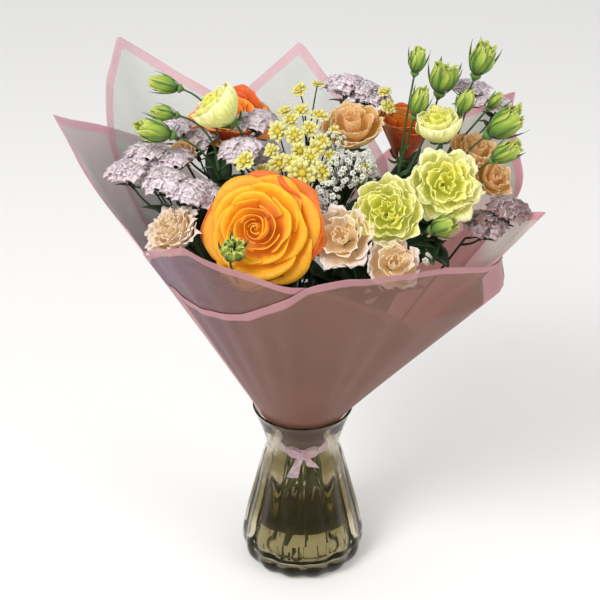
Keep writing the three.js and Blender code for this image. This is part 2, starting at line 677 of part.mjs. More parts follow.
// The green cup under a bloom.
function calyx(seat, facing, radius) {
  const cup = turned([[0, -radius * 1.1], [radius * 0.4, -radius * 1.1], [radius, 0],
    [0, 0]], 5);
  return solidOf(aim(cup, seat, facing));
}

// Branches: [end point, facing, length, radius] of each bud, by stem.
const BUDS = {
  lisianthus_left: [
    { at: [-120, 22, 533], facing: [-0.9, 0.1, 0.2], length: 30, radius: 9 },
    { at: [-122, 2, 513], facing: [-0.93, -0.1, 0.2], length: 24, radius: 8 },
    { at: [-126, -16, 500], facing: [-0.85, -0.25, 0.35], length: 36, radius: 11 },
  ],
  lisianthus_centre: [
    { at: [120, -84, 432], facing: [0.8, -0.35, 0.45], length: 27, radius: 10 },
  ],
  lisianthus_right: [
    { at: [178, -6, 497], facing: [0.75, -0.15, 0.6], length: 40, radius: 12 },
    { at: [180, -30, 480], facing: [0.7, -0.3, 0.62], length: 34, radius: 9 },
  ],
  lisianthus_back: [
    { at: [108, 34, 545], facing: [0.15, 0, 0.98], length: 27, radius: 8.5 },
    { at: [133, 36, 524], facing: [0.2, 0, 0.98], length: 36, radius: 12 },
    { at: [108, 14, 508], facing: [0.25, 0, 0.95], length: 32, radius: 9.5 },
    { at: [169, 48, 538], facing: [0.3, 0, 0.95], length: 36, radius: 11 },
    { at: [150, 8, 512], facing: [0.35, -0.1, 0.93], length: 27, radius: 9 },
    { at: [181, 30, 510], facing: [0.6, 0, 0.8], length: 20, radius: 6 },
  ],
  lisianthus_front: [
    { at: [-66, -116, 420], facing: [0.2, -0.45, 0.87], length: 24, radius: 10 },
  ],
};

// Leaves: root height on the stem (or above its top), direction, length, width.
const LEAVES = {
  rose_front: [{ height: 352, way: [-0.5, -0.4, 0.75], length: 62, width: 30 }],
  rose_left: [{ height: 412, way: [0.9, -0.3, 0.5], length: 50, width: 24 },
    { height: 398, way: [-0.7, 0.1, 0.7], length: 48, width: 24 }],
  rose_right: [{ height: 405, way: [-0.7, -0.3, 0.6], length: 46, width: 24 }],
  lisianthus_left: [{ height: 440, way: [0.55, -0.7, 0.65], length: 46, width: 20 }],
  lisianthus_centre: [{ height: 385, way: [0.75, -0.35, 0.45], length: 60, width: 24 },
    { height: 372, way: [0.5, -0.75, 0.35], length: 50, width: 20 }],
  lisianthus_right: [{ height: 410, way: [-0.3, 0.5, 0.8], length: 38, width: 16 }],
  lisianthus_back: [{ height: 430, way: [-0.55, -0.5, 0.7], length: 40, width: 18 },
    { height: 418, way: [0.3, 0.7, 0.6], length: 44, width: 18 }],
  lisianthus_front: [{ height: 380, way: [-0.7, -0.2, 0.75], length: 34, width: 12 }],
  peach_left: [{ height: 366, way: [-0.6, 0.5, 0.6], length: 48, width: 18 }],
  peach_right: [{ height: 396, way: [0.5, 0.6, 0.6], length: 40, width: 16 }],
  peach_back: [{ height: 420, way: [-0.75, 0.2, 0.6], length: 38, width: 16 }],
  peach_small: [{ height: 418, way: [-0.6, 0.6, 0.6], length: 40, width: 16 }],
};

function leavesOf(stemName) {
  return (LEAVES[stemName] ?? []).map(({ height, way, length, width }) => {
    const root = stemPoint(STEMS[stemName], height);
    return leaf(root, way, length, width, length > 45 ? 3 : 2);
  });
}

// A flowering stem: the straight stem, a branch to each bloom and bud, and its leaves.
function makeFlowerStem(stemName, nodeName) {
  const stem = STEMS[stemName];
  const solids = [stemSolid(stem), ...leavesOf(stemName)];
  const seats = [
    ...Object.values(ROSES).filter((bloom) => bloom.stem === stemName)
      .map((bloom) => ({ bloom, seat: roseSeat(bloom), cup: bloom.radius * 0.13 })),
    ...Object.values(BLOOMS).filter((bloom) => bloom.stem === stemName)
      .map((bloom) => ({ bloom, seat: lisianthusSeat(bloom), cup: bloom.radius * 0.16 })),
  ];
  seats.forEach(({ bloom, seat, cup }, i) => {
    const facing = vector(bloom.facing).normalize();
    const neck = seat.clone().addScaledVector(facing, -cup * 0.6);
    const fork = stemPoint(stem, stem.top[2] - i * FORK_STEP);
    solids.push(solidOf(tube(bend(fork, neck, facing, 2), stem.radius * 0.94, STEM_SIDES)));
    solids.push(calyx(seat, facing, cup));
  });
  (BUDS[stemName] ?? []).forEach(({ at, facing, length, radius }, i) => {
    const direction = vector(facing).normalize();
    const place = vector(at);
    const foot = place.clone().addScaledVector(direction, length * 0.12);
    const fork = stemPoint(stem, stem.top[2] - (i + seats.length) * FORK_STEP);
    solids.push(solidOf(tube(bend(fork, foot, direction, 2), 1.1, 3)));
    solids.push(bud(place, direction, length, radius, i));
  });
  addPiece(nodeName, fuse(solids), STEM_GREEN);
}

// Statice: flattened clusters of papery funnels on short winged branches.
const STATICE = {
  statice_left: [[-168, -30, 468], [-148, -22, 462], [-131, -42, 462], [-108, -50, 455]],
  statice_middle_left: [[-127, 36, 484], [-106, 36, 472]],
  statice_centre: [[-46, 14, 500], [-60, -12, 482], [-36, 6, 466]],
  statice_back: [[40, 66, 520], [68, 62, 508]],
  statice_back_right: [[166, 64, 516], [190, 46, 504]],
  statice_right: [[197, -45, 434], [174, -54, 422]],
};
const CLUSTER = { width: 30, depth: 22, dome: 5, floret: 5.5, columns: 4, rows: 2 };

// A cluster: a shallow cushion whose upper face rises in a point at every floret.
function staticeCluster(centre, facing, spin, random) {
  const { columns, rows } = CLUSTER;
  const heights = Array.from({ length: (columns + 1) * (rows + 1) }, random);
  const cushion = slab((u, v, side) => {
    const i = Math.round(u * columns);
    const j = Math.round(v * rows);
    const x = (u - 0.5) * CLUSTER.width * (1 - 0.25 * (2 * v - 1) ** 2);
    const y = (v - 0.5) * CLUSTER.depth * (1 - 0.25 * (2 * u - 1) ** 2);
    const dome = CLUSTER.dome * (1 - ((2 * u - 1) ** 2 + (2 * v - 1) ** 2) / 2);
    const tip = (i + j) % 2 === 0 ? CLUSTER.floret * (0.7 + 0.6 * heights[i * rows + j]) : 1.2;
    return new THREE.Vector3(x, y, side === 0 ? dome * 0.4 - 1 : dome + tip);
  }, columns, rows);
  return solidOf(aim(cushion, centre, facing, spin));
}

function makeStatice(stemName, seed) {
  const stem = STEMS[stemName];
  const top = vector(stem.top);
  const random = seeded(seed);
  const solids = [stemSolid(stem)];
  STATICE[stemName].forEach((place, i) => {
    const centre = vector(place);
    const outward = centre.clone().sub(top).normalize();
    const facing = new THREE.Vector3(0, -0.25, 1).addScaledVector(outward, 0.5).normalize();
    const fork = stemPoint(stem, stem.top[2] - i * FORK_STEP);
    const root = centre.clone().addScaledVector(facing, 1.5);
    solids.push(solidOf(tube(bend(fork, root, facing, 2), 1.1, 3)));
    solids.push(staticeCluster(centre, facing, random() * 0.8 - 0.4, random));
  });
  addPiece(stemName, fuse(solids), STATICE_LILAC);
}

// Santini: small daisies, each [centre, facing, radius].
const SANTINI = {
  santini_front: [
    [[-55, -40, 482], [-0.4, -0.6, 0.7], 11], [[-24, -6, 499], [-0.1, -0.75, 0.6], 11],
    [[-8, -14, 498], [0.1, -0.7, 0.7], 10], [[-3, -26, 487], [0, -0.9, 0.4], 10],
    [[-1, -46, 473], [0, -0.85, 0.5], 14], [[18, -44, 474], [0.2, -0.8, 0.55], 10],
    [[12, -24, 488], [0.2, -0.75, 0.6], 10], [[-22, -34, 478], [-0.2, -0.85, 0.45], 10],
  ],
  santini_back: [
    [[-4, 42, 524], [-0.3, -0.4, 0.85], 9], [[14, 40, 530], [0.2, 0, 1], 8],
    [[-2, 20, 511], [-0.2, -0.5, 0.85], 9], [[15, 12, 508], [0.2, -0.3, 0.9], 10],
    [[80, 47, 520], [-0.2, -0.3, 0.95], 8], [[84, 38, 508], [0.2, -0.6, 0.75], 9],
  ],
};
const DAISY_PETALS = 6;

// A daisy head facing +Z: a disc with a raised centre, cut into petals round its rim.
function daisy(radius) {
  const head = turned([[0, -0.8], [radius, radius * 0.14], [0, radius * 0.3]],
    DAISY_PETALS * 2);
  const position = head.getAttribute('position');
  for (let i = 0; i < position.count; i += 1) {
    const angle = Math.atan2(position.getY(i), position.getX(i));
    const reach = 0.78 + 0.22 * Math.cos(angle * DAISY_PETALS);
    position.setXY(i, position.getX(i) * reach, position.getY(i) * reach);
  }
  return head;
}

function makeSantini(stemName) {
  const stem = STEMS[stemName];
  const solids = [stemSolid(stem)];
  const steps = stemName === 'santini_back' ? 2 : 1;
  SANTINI[stemName].forEach(([place, facing, radius], i) => {
    const centre = vector(place);
    const direction = vector(facing).normalize();
    const fork = stemPoint(stem, stem.top[2] - i * FORK_STEP);
    const root = centre.clone().addScaledVector(direction, 0.8);
    solids.push(solidOf(tube(bend(fork, root, direction, steps, 0.4), 0.8, 3)));
    solids.push(solidOf(aim(daisy(radius), centre, direction)));
  });
  addPiece(stemName, fuse(solids), SANTINI_YELLOW);
}

// Gypsophila: a cloud of tiny double flowers on hair-fine branches.
const GYPSOPHILA = { centre: [46, -39, 475], size: [24, 16, 17], flowers: 11, radius: 4.6,
  branches: 4 };
const GOLDEN_ANGLE = Math.PI * (3 - Math.sqrt(5));

function makeGypsophila() {
  const stem = STEMS.gypsophila;
  const random = seeded(11);
  const solids = [stemSolid(stem)];
  const centre = vector(GYPSOPHILA.centre);
  for (let k = 0; k < GYPSOPHILA.flowers; k += 1) {
    const level = 1 - (2 * (k + 0.5)) / GYPSOPHILA.flowers;
    const angle = k * GOLDEN_ANGLE;
    const wide = Math.sqrt(1 - level * level);
    const depth = 0.75 + 0.25 * random();
    const [width, thick, tall] = GYPSOPHILA.size;
    const place = centre.clone().add(new THREE.Vector3(width * wide * Math.cos(angle) * depth,
      thick * wide * Math.sin(angle) * depth, tall * level * depth));
    const fork = stemPoint(stem, stem.top[2] - (k % GYPSOPHILA.branches) * FORK_STEP);
    solids.push(solidOf(tube([fork, place], 0.5, 3)));
    solids.push(solidOf(new THREE.OctahedronGeometry(GYPSOPHILA.radius)
      .rotateX(random() * 3).translate(...place.toArray())));
  }
  addPiece('gypsophila', fuse(solids), GYPSOPHILA_WHITE);
}

// ---------------------------------------------------------------- assembly

placeStems();
makeVase();
makeWater(Object.values(STEMS).map(holeSolid));
makeTie();
Object.entries(SHEETS).forEach(([name, sheet]) => makeSheet(name, sheet));
makeRibbon();
makeBlooms();
['rose_front', 'rose_left', 'rose_right', 'lisianthus_left', 'lisianthus_centre',
  'lisianthus_right', 'lisianthus_back', 'lisianthus_front', 'peach_front', 'peach_left',
  'peach_back', 'peach_right', 'peach_small']
  .forEach((name) => makeFlowerStem(name, `${name}_stem`));
Object.keys(STATICE).forEach((name, i) => makeStatice(name, 3 + i));
Object.keys(SANTINI).forEach((name) => makeSantini(name));
makeGypsophila();

export default bouquet;
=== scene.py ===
# %% [markdown]
# # A hand-tied bouquet in its vase
# The bouquet is rebuilt around a fixed frame: every stem, bloom and sheet of film already has
# its place and its size, and this lesson gives each of them the surface of the real thing.
# The first cell loads that frame.

# %% The frame
import math
from functools import partial
from types import SimpleNamespace

import bmesh
import bpy
import numpy as np
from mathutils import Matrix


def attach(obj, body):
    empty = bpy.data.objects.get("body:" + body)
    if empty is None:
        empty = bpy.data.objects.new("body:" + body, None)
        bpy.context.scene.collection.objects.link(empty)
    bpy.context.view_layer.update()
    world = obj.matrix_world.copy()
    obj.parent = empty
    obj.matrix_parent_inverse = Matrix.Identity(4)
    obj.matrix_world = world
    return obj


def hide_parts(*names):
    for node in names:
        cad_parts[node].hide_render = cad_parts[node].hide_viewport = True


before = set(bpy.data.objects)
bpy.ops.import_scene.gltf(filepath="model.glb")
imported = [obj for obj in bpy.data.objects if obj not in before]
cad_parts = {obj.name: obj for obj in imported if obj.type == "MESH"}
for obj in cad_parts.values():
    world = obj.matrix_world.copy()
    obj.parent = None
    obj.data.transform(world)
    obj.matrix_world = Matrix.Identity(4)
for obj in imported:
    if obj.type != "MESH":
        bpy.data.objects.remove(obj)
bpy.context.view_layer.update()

# %% [markdown]
# ## Camera, floor and light
# The bouquet stands on a pale sweep, as in a product studio. The camera looks down on it by
# 28 degrees, through a long lens, so that the vase hardly tapers. Light comes from a large
# soft box high on the left, a weaker one on the right and a pale surround that fills
# the shadows. The Standard view keeps the white of the sweep and the full colour of petals,
# which a filmic view would grey.

# %% Camera
MM = 0.001
CAMERA_PLACE = (-0.003, -1.236, 0.971)
CAMERA_PITCH = math.radians(28)

scene = bpy.context.scene
camera_data = bpy.data.cameras.new("camera")
camera_data.sensor_width = 36
camera_data.lens = 82.08
camera = bpy.data.objects.new("camera", camera_data)
camera.location = CAMERA_PLACE
camera.rotation_euler = (math.pi / 2 - CAMERA_PITCH, 0, 0)
scene.collection.objects.link(camera)
scene.camera = camera
print("camera lens:", camera_data.lens, "mm")


# %% Colours and nodes
def linear(code):
    """Turns an sRGB hex code such as #ffaa00 into linear red, green, blue and alpha 1."""
    channels = [int(code[i:i + 2], 16) / 255 for i in (1, 3, 5)]
    return [c / 12.92 if c <= 0.04045 else ((c + 0.055) / 1.055) ** 2.4
            for c in channels] + [1.0]


def add_node(tree, kind, inputs=None, stops=(), **settings):
    """Adds a node with its settings, inputs and colour stops.

    An input is a number, a hex colour, a socket, or a node, which gives its first output.
    """
    node = tree.nodes.new("ShaderNode" + kind)
    for name, value in settings.items():
        setattr(node, name, value)
    for name, value in (inputs or {}).items():
        if isinstance(value, bpy.types.Node):
            value = value.outputs[0]
        if isinstance(value, bpy.types.NodeSocket):
            tree.links.new(value, node.inputs[name])
        else:
            node.inputs[name].default_value = linear(value) if isinstance(value, str) else value
    for _ in stops[2:]:
        node.color_ramp.elements.new(0.5)
    for i, (place, code) in enumerate(stops):
        element = node.color_ramp.elements[i]
        element.position = place
        element.color = linear(code)
    return node


def new_material(name):
    """An empty node material; returns it and add, which is add_node for its own tree."""
    material = bpy.data.materials.new(name)
    material.use_nodes = True
    material.node_tree.nodes.clear()
    return material, partial(add_node, material.node_tree)


def finish_material(material, inputs):
    """Gives a material its one shader, with these inputs, and its output."""
    shader = add_node(material.node_tree, "BsdfPrincipled", inputs)
    add_node(material.node_tree, "OutputMaterial", {"Surface": shader})
    return material


print("orange petal in linear light:", [round(c, 3) for c in linear("#f59a1c")])

# %% Floor and light
SWEEP = 30  # metres from the middle to each side, so that no edge shows

# Matt white paper: it scatters evenly, so the eye sees no highlight on it, only soft shadow.
floor_material = finish_material(new_material("matt_white_studio_sweep")[0],
                                 {"Base Color": "#f4f3f1", "Roughness": 0.9})
floor_mesh = bpy.data.meshes.new("floor")
floor_mesh.from_pydata([(-SWEEP, -SWEEP, 0), (SWEEP, -SWEEP, 0), (SWEEP, SWEEP, 0),
                        (-SWEEP, SWEEP, 0)], [], [(0, 1, 2, 3)])
floor_mesh.materials.append(floor_material)
floor = bpy.data.objects.new("floor", floor_mesh)
scene.collection.objects.link(floor)

scene.world = bpy.data.worlds.new("pale_surround")
scene.world.use_nodes = True
surround = scene.world.node_tree.nodes["Background"]
surround.inputs["Color"].default_value = linear("#ffffff")
surround.inputs["Strength"].default_value = 0.75
scene.view_settings.view_transform = "Standard"


def add_soft_box(name, place, size, power):
    """A square area light at a place, turned to face the middle of the bouquet."""
    data = bpy.data.lights.new(name, "AREA")
    data.size = size
    data.energy = power
    light = bpy.data.objects.new(name, data)
    light.location = place
    x, y, z = np.array((0, 0, 0.35)) - np.array(place)
    light.rotation_euler = (math.atan2(math.hypot(x, y), -z), 0, math.atan2(-x, y))
    scene.collection.objects.link(light)


add_soft_box("key_light", (-1.1, -1.2, 1.9), 0.9, 34)
add_soft_box("fill_light", (1.6, -1.0, 1.2), 1.2, 10)

# %% [markdown]
# ## Grids of points
# Every surface below is a grid of points worked out from two numbers: u runs across it and
# v along it. The grids of one piece are gathered in a plain dictionary and become one mesh.
# A petal, leaf or sheet of film gets its thickness here too: its two faces lie half the
# thickness to each side of the surface, and a rim closes them. Each point also keeps its
# u and v as a UV map, so that a material can follow the petal, and one number of its own,
# its shade, so that no two petals need to look alike.

# %% Gathering grids
def new_shape():
    """An empty collection of grids."""
    return {"points": [], "quads": [], "uv": [], "shade": [], "finish": [], "count": 0}


def grid_quads(columns, rows, wrapped):
    """The quads of a grid of points numbered column by column; a wrapped grid is a tube."""
    i, j = np.meshgrid(np.arange(columns if wrapped else columns - 1), np.arange(rows - 1),
                       indexing="ij")
    k = (i + 1) % columns
    corners = [i * rows + j, k * rows + j, k * rows + j + 1, i * rows + j + 1]
    return np.stack(corners, axis=-1).reshape(-1, 4)


def grid_uv(columns, rows):
    """u from 0 to 1 over the columns and v from 0 to 1 over the rows."""
    u, v = np.meshgrid(np.linspace(0, 1, columns), np.linspace(0, 1, rows), indexing="ij")
    return np.stack([u, v], axis=-1).reshape(-1, 2)


def add_block(shape, points, quads, uv, shade, finish):
    """Adds a batch of like grids: points (count, size, 3), with one list of quads for all."""
    count, size = points.shape[:2]
    starts = shape["count"] + np.arange(count)[:, None, None] * size
    if np.ndim(shade) < 2:
        shade = np.reshape(shade, (-1, 1))
    shape["points"].append(points.reshape(-1, 3))
    shape["quads"].append((quads[None] + starts).reshape(-1, 4))
    shape["uv"].append(np.broadcast_to(uv, (count, size, 2)).reshape(-1, 2))
    shape["shade"].append(np.broadcast_to(shade, (count, size)).reshape(-1))
    shape["finish"].append(np.full(len(quads) * count, finish))
    shape["count"] += count * size


print("a 3 by 3 grid has", len(grid_quads(3, 3, False)), "quads")


# %% Sheets
def unit(vectors):
    """Vectors scaled to length 1."""
    vectors = np.asarray(vectors, float)
    return vectors / np.maximum(np.linalg.norm(vectors, axis=-1, keepdims=True), 1e-9)


def add_sheets(shape, points, thickness, finish=0, shade=0.0):
    """Adds thin sheets round grids of middle points (count, columns, rows, 3).

    Their faces lie half the thickness along each normal, which is across crossed with along.
    """
    count, columns, rows = points.shape[:3]
    normals = unit(np.cross(np.gradient(points, axis=1), np.gradient(points, axis=2)))
    half = normals * (thickness / 2)
    both = np.concatenate([(points + half).reshape(count, -1, 3),
                           (points - half).reshape(count, -1, 3)], axis=1)
    size = columns * rows
    faces = grid_quads(columns, rows, False)
    index = np.arange(size).reshape(columns, rows)
    rim = np.concatenate([index[:, 0], index[-1, 1:], index[-2::-1, -1], index[0, -2:0:-1]])
    following = np.roll(rim, -1)
    rim_quads = np.stack([following, rim, rim + size, following + size], axis=-1)
    quads = np.concatenate([faces, faces[:, ::-1] + size, rim_quads])
    if np.ndim(shade) > 1:
        shade = np.tile(shade.reshape(count, size), (1, 2))
    add_block(shape, both, quads, np.tile(grid_uv(columns, rows), (2, 1)), shade, finish)


print("(3, 0, 4) scaled to length 1:", unit((3, 0, 4)).tolist())


# %% Tubes and turned shapes
def add_tubes(shape, paths, radii, finish=0, sides=8):
    """Adds round tubes along paths (count, steps, 3); each end is drawn together to a point.

    Each ring is side x cos(turn) + front x sin(turn), where side and front stand across the
    path. It starts at an angle of its own, so tubes that share a root share no edge.
    """
    paths = paths.reshape(-1, *paths.shape[-2:])
    count, steps = paths.shape[:2]
    along = unit(np.gradient(paths, axis=1))
    reference = np.where(np.abs(along[:, :1, 1:2]) < 0.8, [0.0, 1.0, 0.0], [1.0, 0.0, 0.0])
    side = unit(np.cross(along, reference))
    front = np.cross(along, side)
    radii = np.broadcast_to(radii, (count, steps))
    paths, side, front, radii = (np.concatenate([x[:, :1], x, x[:, -1:]], axis=1)
                                 for x in (paths, side, front, radii))
    radii = radii * np.pad(np.ones(steps), 1)
    start = paths[:, -1].sum(axis=-1)[:, None, None, None] * 0.7
    turn = start + np.linspace(0, 2 * np.pi, sides, endpoint=False)[None, :, None, None]
    ring = side[:, None] * np.cos(turn) + front[:, None] * np.sin(turn)
    points = paths[:, None] + ring * radii[:, None, :, None]
    add_block(shape, points.reshape(count, -1, 3), grid_quads(sides, steps + 2, True),
              grid_uv(sides, steps + 2), 0.0, finish)


def add_turned(shape, profile, sides, finish=0, bend=None):
    """Adds a shape turned about +Z from (radius, height) points; bend may move its points."""
    radius, height = np.asarray(profile, float).T
    turn = np.linspace(0, 2 * np.pi, sides, endpoint=False)[:, None]
    points = np.stack([radius * np.cos(turn), radius * np.sin(turn),
                       np.broadcast_to(height, (sides, len(height)))], axis=-1)
    if bend is not None:
        points = bend(points)
    add_block(shape, points.reshape(1, -1, 3), grid_quads(sides, len(height), True),
              grid_uv(sides, len(height)), 0.0, finish)


print("a tube of 8 sides and 14 steps has", len(grid_quads(8, 14 + 2, True)), "quads")

# %% [markdown]
# The next cell turns a gathered shape into an object. Points that coincide are merged, which
# closes tube ends and the seams of turned shapes. The object stays at the origin, because
# its place is in its points. The piece rides on the frame's one body and stands for the plain
# solid that held its place.

# %% Making a piece
face_counts = {}


def make_piece(shape, name, node, finishes):
    """Makes an object of a shape in millimetres; it replaces one node of the frame."""
    points = np.concatenate(shape["points"]) * MM
    quads = np.concatenate(shape["quads"]).astype(np.int32)
    mesh = bpy.data.meshes.new(name)
    mesh.vertices.add(len(points))
    mesh.vertices.foreach_set("co", points.astype(np.float32).ravel())
    mesh.loops.add(len(quads) * 4)
    mesh.loops.foreach_set("vertex_index", quads.ravel())
    mesh.polygons.add(len(quads))
    mesh.polygons.foreach_set("loop_start", np.arange(0, len(quads) * 4, 4, dtype=np.int32))
    mesh.polygons.foreach_set("material_index",
                              np.concatenate(shape["finish"]).astype(np.int32))
    mesh.update(calc_edges=True)
    uv = np.concatenate(shape["uv"])[quads.ravel()]
    mesh.uv_layers.new(name="across_and_along").data.foreach_set("uv", uv.ravel())
    shade = mesh.attributes.new("shade", "FLOAT", "POINT")
    shade.data.foreach_set("value", np.concatenate(shape["shade"]).astype(np.float32))
    edit = bmesh.new()
    edit.from_mesh(mesh)
    bmesh.ops.remove_doubles(edit, verts=edit.verts, dist=2e-6)
    edit.to_mesh(mesh)
    edit.free()
    mesh.polygons.foreach_set("use_smooth", np.ones(len(mesh.polygons), bool))
    for material in finishes:
        mesh.materials.append(material)
    piece = bpy.data.objects.new(name, mesh)
    scene.collection.objects.link(piece)
    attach(piece, "root")
    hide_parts(node)
    face_counts[name] = len(mesh.polygons)
    return piece


def print_faces(word):
    """Prints how many faces each piece with this word in its name has."""
    print("faces:", {name: count for name, count in face_counts.items() if word in name})


# %% Turning and placing
def facing_turn(facing):
    """The turn that takes +Z to a direction by the shortest way, as a 3 by 3 matrix."""
    x, y, z = unit(facing)
    return np.array([[1 - x * x / (1 + z), -x * y / (1 + z), x],
                     [-x * y / (1 + z), 1 - y * y / (1 + z), y],
                     [-x, -y, z]])


def placed(points, place, facing):
    """Points made round +Z, turned to face a direction and moved to a place."""
    return points @ facing_turn(facing).T + np.asarray(place, float)


def smooth_path(points, steps):
    """A smooth curve through points (Catmull-Rom), with a number of steps in all."""
    points = np.asarray(points, float)
    ends = np.concatenate([[2 * points[0] - points[1]], points, [2 * points[-1] - points[-2]]])
    place = np.linspace(0, len(points) - 1 - 1e-6, steps)
    i = place.astype(int)
    t = (place - i)[:, None]
    a, b, c, d = ends[i], ends[i + 1], ends[i + 2], ends[i + 3]
    return 0.5 * (2 * b + (c - a) * t + (2 * a - 5 * b + 4 * c - d) * t ** 2
                  + (3 * b - a - 3 * c + d) * t ** 3)


def mix(a, b, share):
    """A value between a and b."""
    return a + (b - a) * share


def smooth_step(x, low, high):
    """0 below low, 1 above high, and smooth between."""
    t = np.clip((x - low) / (high - low), 0, 1)
    return t * t * (3 - 2 * t)


print("turn to face -Y:", facing_turn((0, -1, 0)).round(2).tolist())

# %% [markdown]
# ## Finishes of living things
# A petal is a thin, moist, slightly velvety leaf. It is palest or deepest at its rim and its
# heart, with fine veins running along it. So its material reads v, from heart to rim, for
# its colour, and a noise drawn out along v for its veins: about 0.6 mm apart on the real
# petal, drawn a little coarser here so that they show. A little light passes through it.
# Subsurface scattering gives that. A painted glow of the petal's own colour, emitted by the
# petal, lightens its shaded heart: it stands in for the light that reaches there through the
# petals around it. The same plan with other colours serves roses, lisianthus, buds and
# florets.

# %% Petal material
# In a Map Range node, inputs 1 and 2 are the range that is read and 3 and 4 the one that is
# given. In a Mix node, inputs 6 and 7 and output 2 are its colours.
def petal_material(name, stops, deep, veins, vein_strength=0.25, glow=0.12,
                   painted_petal_glow=0.0):
    """A petal: colour stops along v, mixed towards a deep colour by the petal's shade.

    Its skin is covered in tiny cones, so the eye sees a soft, velvety sheen and no glare.
    """
    material, add = new_material(name)
    uv = add("UVMap", uv_map="across_and_along")
    parts = add("SeparateXYZ", {0: uv})
    along = add("ValToRGB", {0: parts.outputs["Y"]}, stops)
    shade = add("Attribute", attribute_name="shade").outputs["Fac"]
    tinted = add("Mix", {0: shade, 6: along, 7: deep}, data_type="RGBA")
    drawn_out = add("Mapping", {0: uv, "Scale": (veins, 3, 1)})
    vein = add("TexNoise", {"Vector": drawn_out, "Scale": 1.0, "Detail": 3.0})
    place = add("TexCoord").outputs["Object"]
    blotch = add("TexNoise", {"Vector": place, "Scale": 110.0})  # 9 mm apart
    strength = add("MapRange", {0: vein, 1: 0.3, 2: 0.7, 3: 1 - vein_strength,
                                4: 1 + vein_strength * 0.4})
    patches = add("MapRange", {0: blotch, 1: 0.3, 2: 0.7, 3: 0.88, 4: 1.08})
    both = add("Math", {0: strength, 1: patches}, operation="MULTIPLY")
    colour = add("VectorMath", {0: tinted.outputs[2], "Scale": both}, operation="SCALE")
    bump = add("Bump", {"Strength": 0.25, "Distance": 0.0006, "Height": vein})
    # Painted light: the emission in the petal's own colour is a painted glow that lightens its
    # shaded heart.
    return finish_material(material, {
        "Base Color": colour, "Roughness": 0.55, "Normal": bump, "Sheen Weight": 0.15,
        "Subsurface Weight": glow, "Subsurface Radius": (0.006, 0.004, 0.002),
        "Subsurface Scale": 1.0, "Specular IOR Level": 0.35, "Emission Color": colour,
        "Emission Strength": painted_petal_glow})


print("veins 0.6 mm apart on a petal 20 mm wide:", round(20 / 0.6))


# %% Leaf and stem materials
def leaf_material(name, blade, rib, edge):
    """A leaf: a paler midrib, side veins running out from it and a skin of wax.

    The wax gives the eye a dim, smooth shine that follows the folds of the leaf.
    """
    material, add = new_material(name)
    uv = add("UVMap", uv_map="across_and_along")
    parts = add("SeparateXYZ", {0: uv}).outputs
    centred = add("Math", {0: parts["X"], 1: 0.5}, operation="SUBTRACT")
    aside = add("Math", {0: centred}, operation="ABSOLUTE")
    across = add("ValToRGB", {0: aside}, [(0.0, rib), (0.035, rib), (0.07, blade), (0.5,
                                                                                    edge)])
    slope = add("Math", {0: aside, 1: -0.7, 2: parts["Y"]}, operation="MULTIPLY_ADD")
    # Twelve veins to each side, 4 mm apart on a leaf of 50 mm.
    vein = add("Math", {0: slope, 1: 75.0}, operation="MULTIPLY")
    ripple = add("Math", {0: vein}, operation="SINE")
    lift = add("MapRange", {0: ripple, 1: 0.75, 2: 1.0, 3: 1.0, 4: 1.35})
    colour = add("VectorMath", {0: across, "Scale": lift}, operation="SCALE")
    bump = add("Bump", {"Strength": 0.3, "Distance": 0.0006, "Height": ripple})
    return finish_material(material, {"Base Color": colour, "Roughness": 0.42,
                                      "Normal": bump, "Specular IOR Level": 0.4})


def stem_material(name, low, high):
    """A green stem: paler low down, darker from 120 mm up to 400 mm, with ridges 1 mm apart.

    The eye sees fine streaks along it, and a soft line of light down its rounded side.
    """
    material, add = new_material(name)
    place = add("TexCoord").outputs["Object"]
    parts = add("SeparateXYZ", {0: place})
    rise = add("MapRange", {0: parts.outputs["Z"], 1: 0.12, 2: 0.4})
    ridged = add("Mapping", {0: place, "Scale": (900, 900, 30)})
    ridge = add("TexNoise", {"Vector": ridged, "Scale": 1.0})
    colour = add("Mix", {0: rise, 6: low, 7: high}, data_type="RGBA")
    tone = add("MapRange", {0: ridge, 1: 0.3, 2: 0.7, 3: 0.75, 4: 1.2})
    varied = add("VectorMath", {0: colour.outputs[2], "Scale": tone}, operation="SCALE")
    bump = add("Bump", {"Strength": 0.3, "Distance": 0.0003, "Height": ridge})
    return finish_material(material, {"Base Color": varied, "Roughness": 0.45,
                                      "Normal": bump})


print("side veins on each half of a leaf:", round(75 / (2 * math.pi)))

# %% The living finishes
orange_rose = petal_material(
    "orange_rose_petal_velvet",
    [(0.0, "#fea418"), (0.4, "#fea614"), (0.78, "#fba812"), (0.97, "#fbb01a")], "#e3501a",
    veins=26, vein_strength=0.1, glow=0.35, painted_petal_glow=0.07)
red_rose = petal_material(
    "red_orange_rose_petal_velvet",
    [(0.0, "#c4420e"), (0.5, "#ea6c1a"), (0.85, "#f78a26"), (1.0, "#fb9f40")], "#de4f1e",
    veins=26, vein_strength=0.15)
yellow_lisianthus = petal_material(
    "yellow_lisianthus_petal_silky",
    [(0.0, "#bcd08a"), (0.2, "#e0ea80"), (0.6, "#f6f090"), (1.0, "#faf4b4")], "#f4f05a",
    veins=30, glow=0.4, painted_petal_glow=0.07)
cream_lisianthus = petal_material(
    "cream_lisianthus_petal_silky",
    [(0.0, "#f0ca86"), (0.4, "#f8d8b0"), (0.8, "#f9e1c6"), (1.0, "#f9e6da")], "#f8d6a2",
    veins=30, glow=0.35, painted_petal_glow=0.05)
apricot_lisianthus = petal_material(
    "apricot_lisianthus_petal_silky",
    [(0.0, "#cf9636"), (0.4, "#e6b054"), (0.85, "#efc080"), (1.0, "#f6cfa6")], "#f0b880",
    veins=30, glow=0.3, painted_petal_glow=0.04)
bud_petal = petal_material(
    "green_bud_petal_waxy",
    [(0.0, "#3f6a2a"), (0.3, "#6f9434"), (0.7, "#a5ba42"), (1.0, "#cdd66c")], "#7a943c",
    veins=22, glow=0.06)
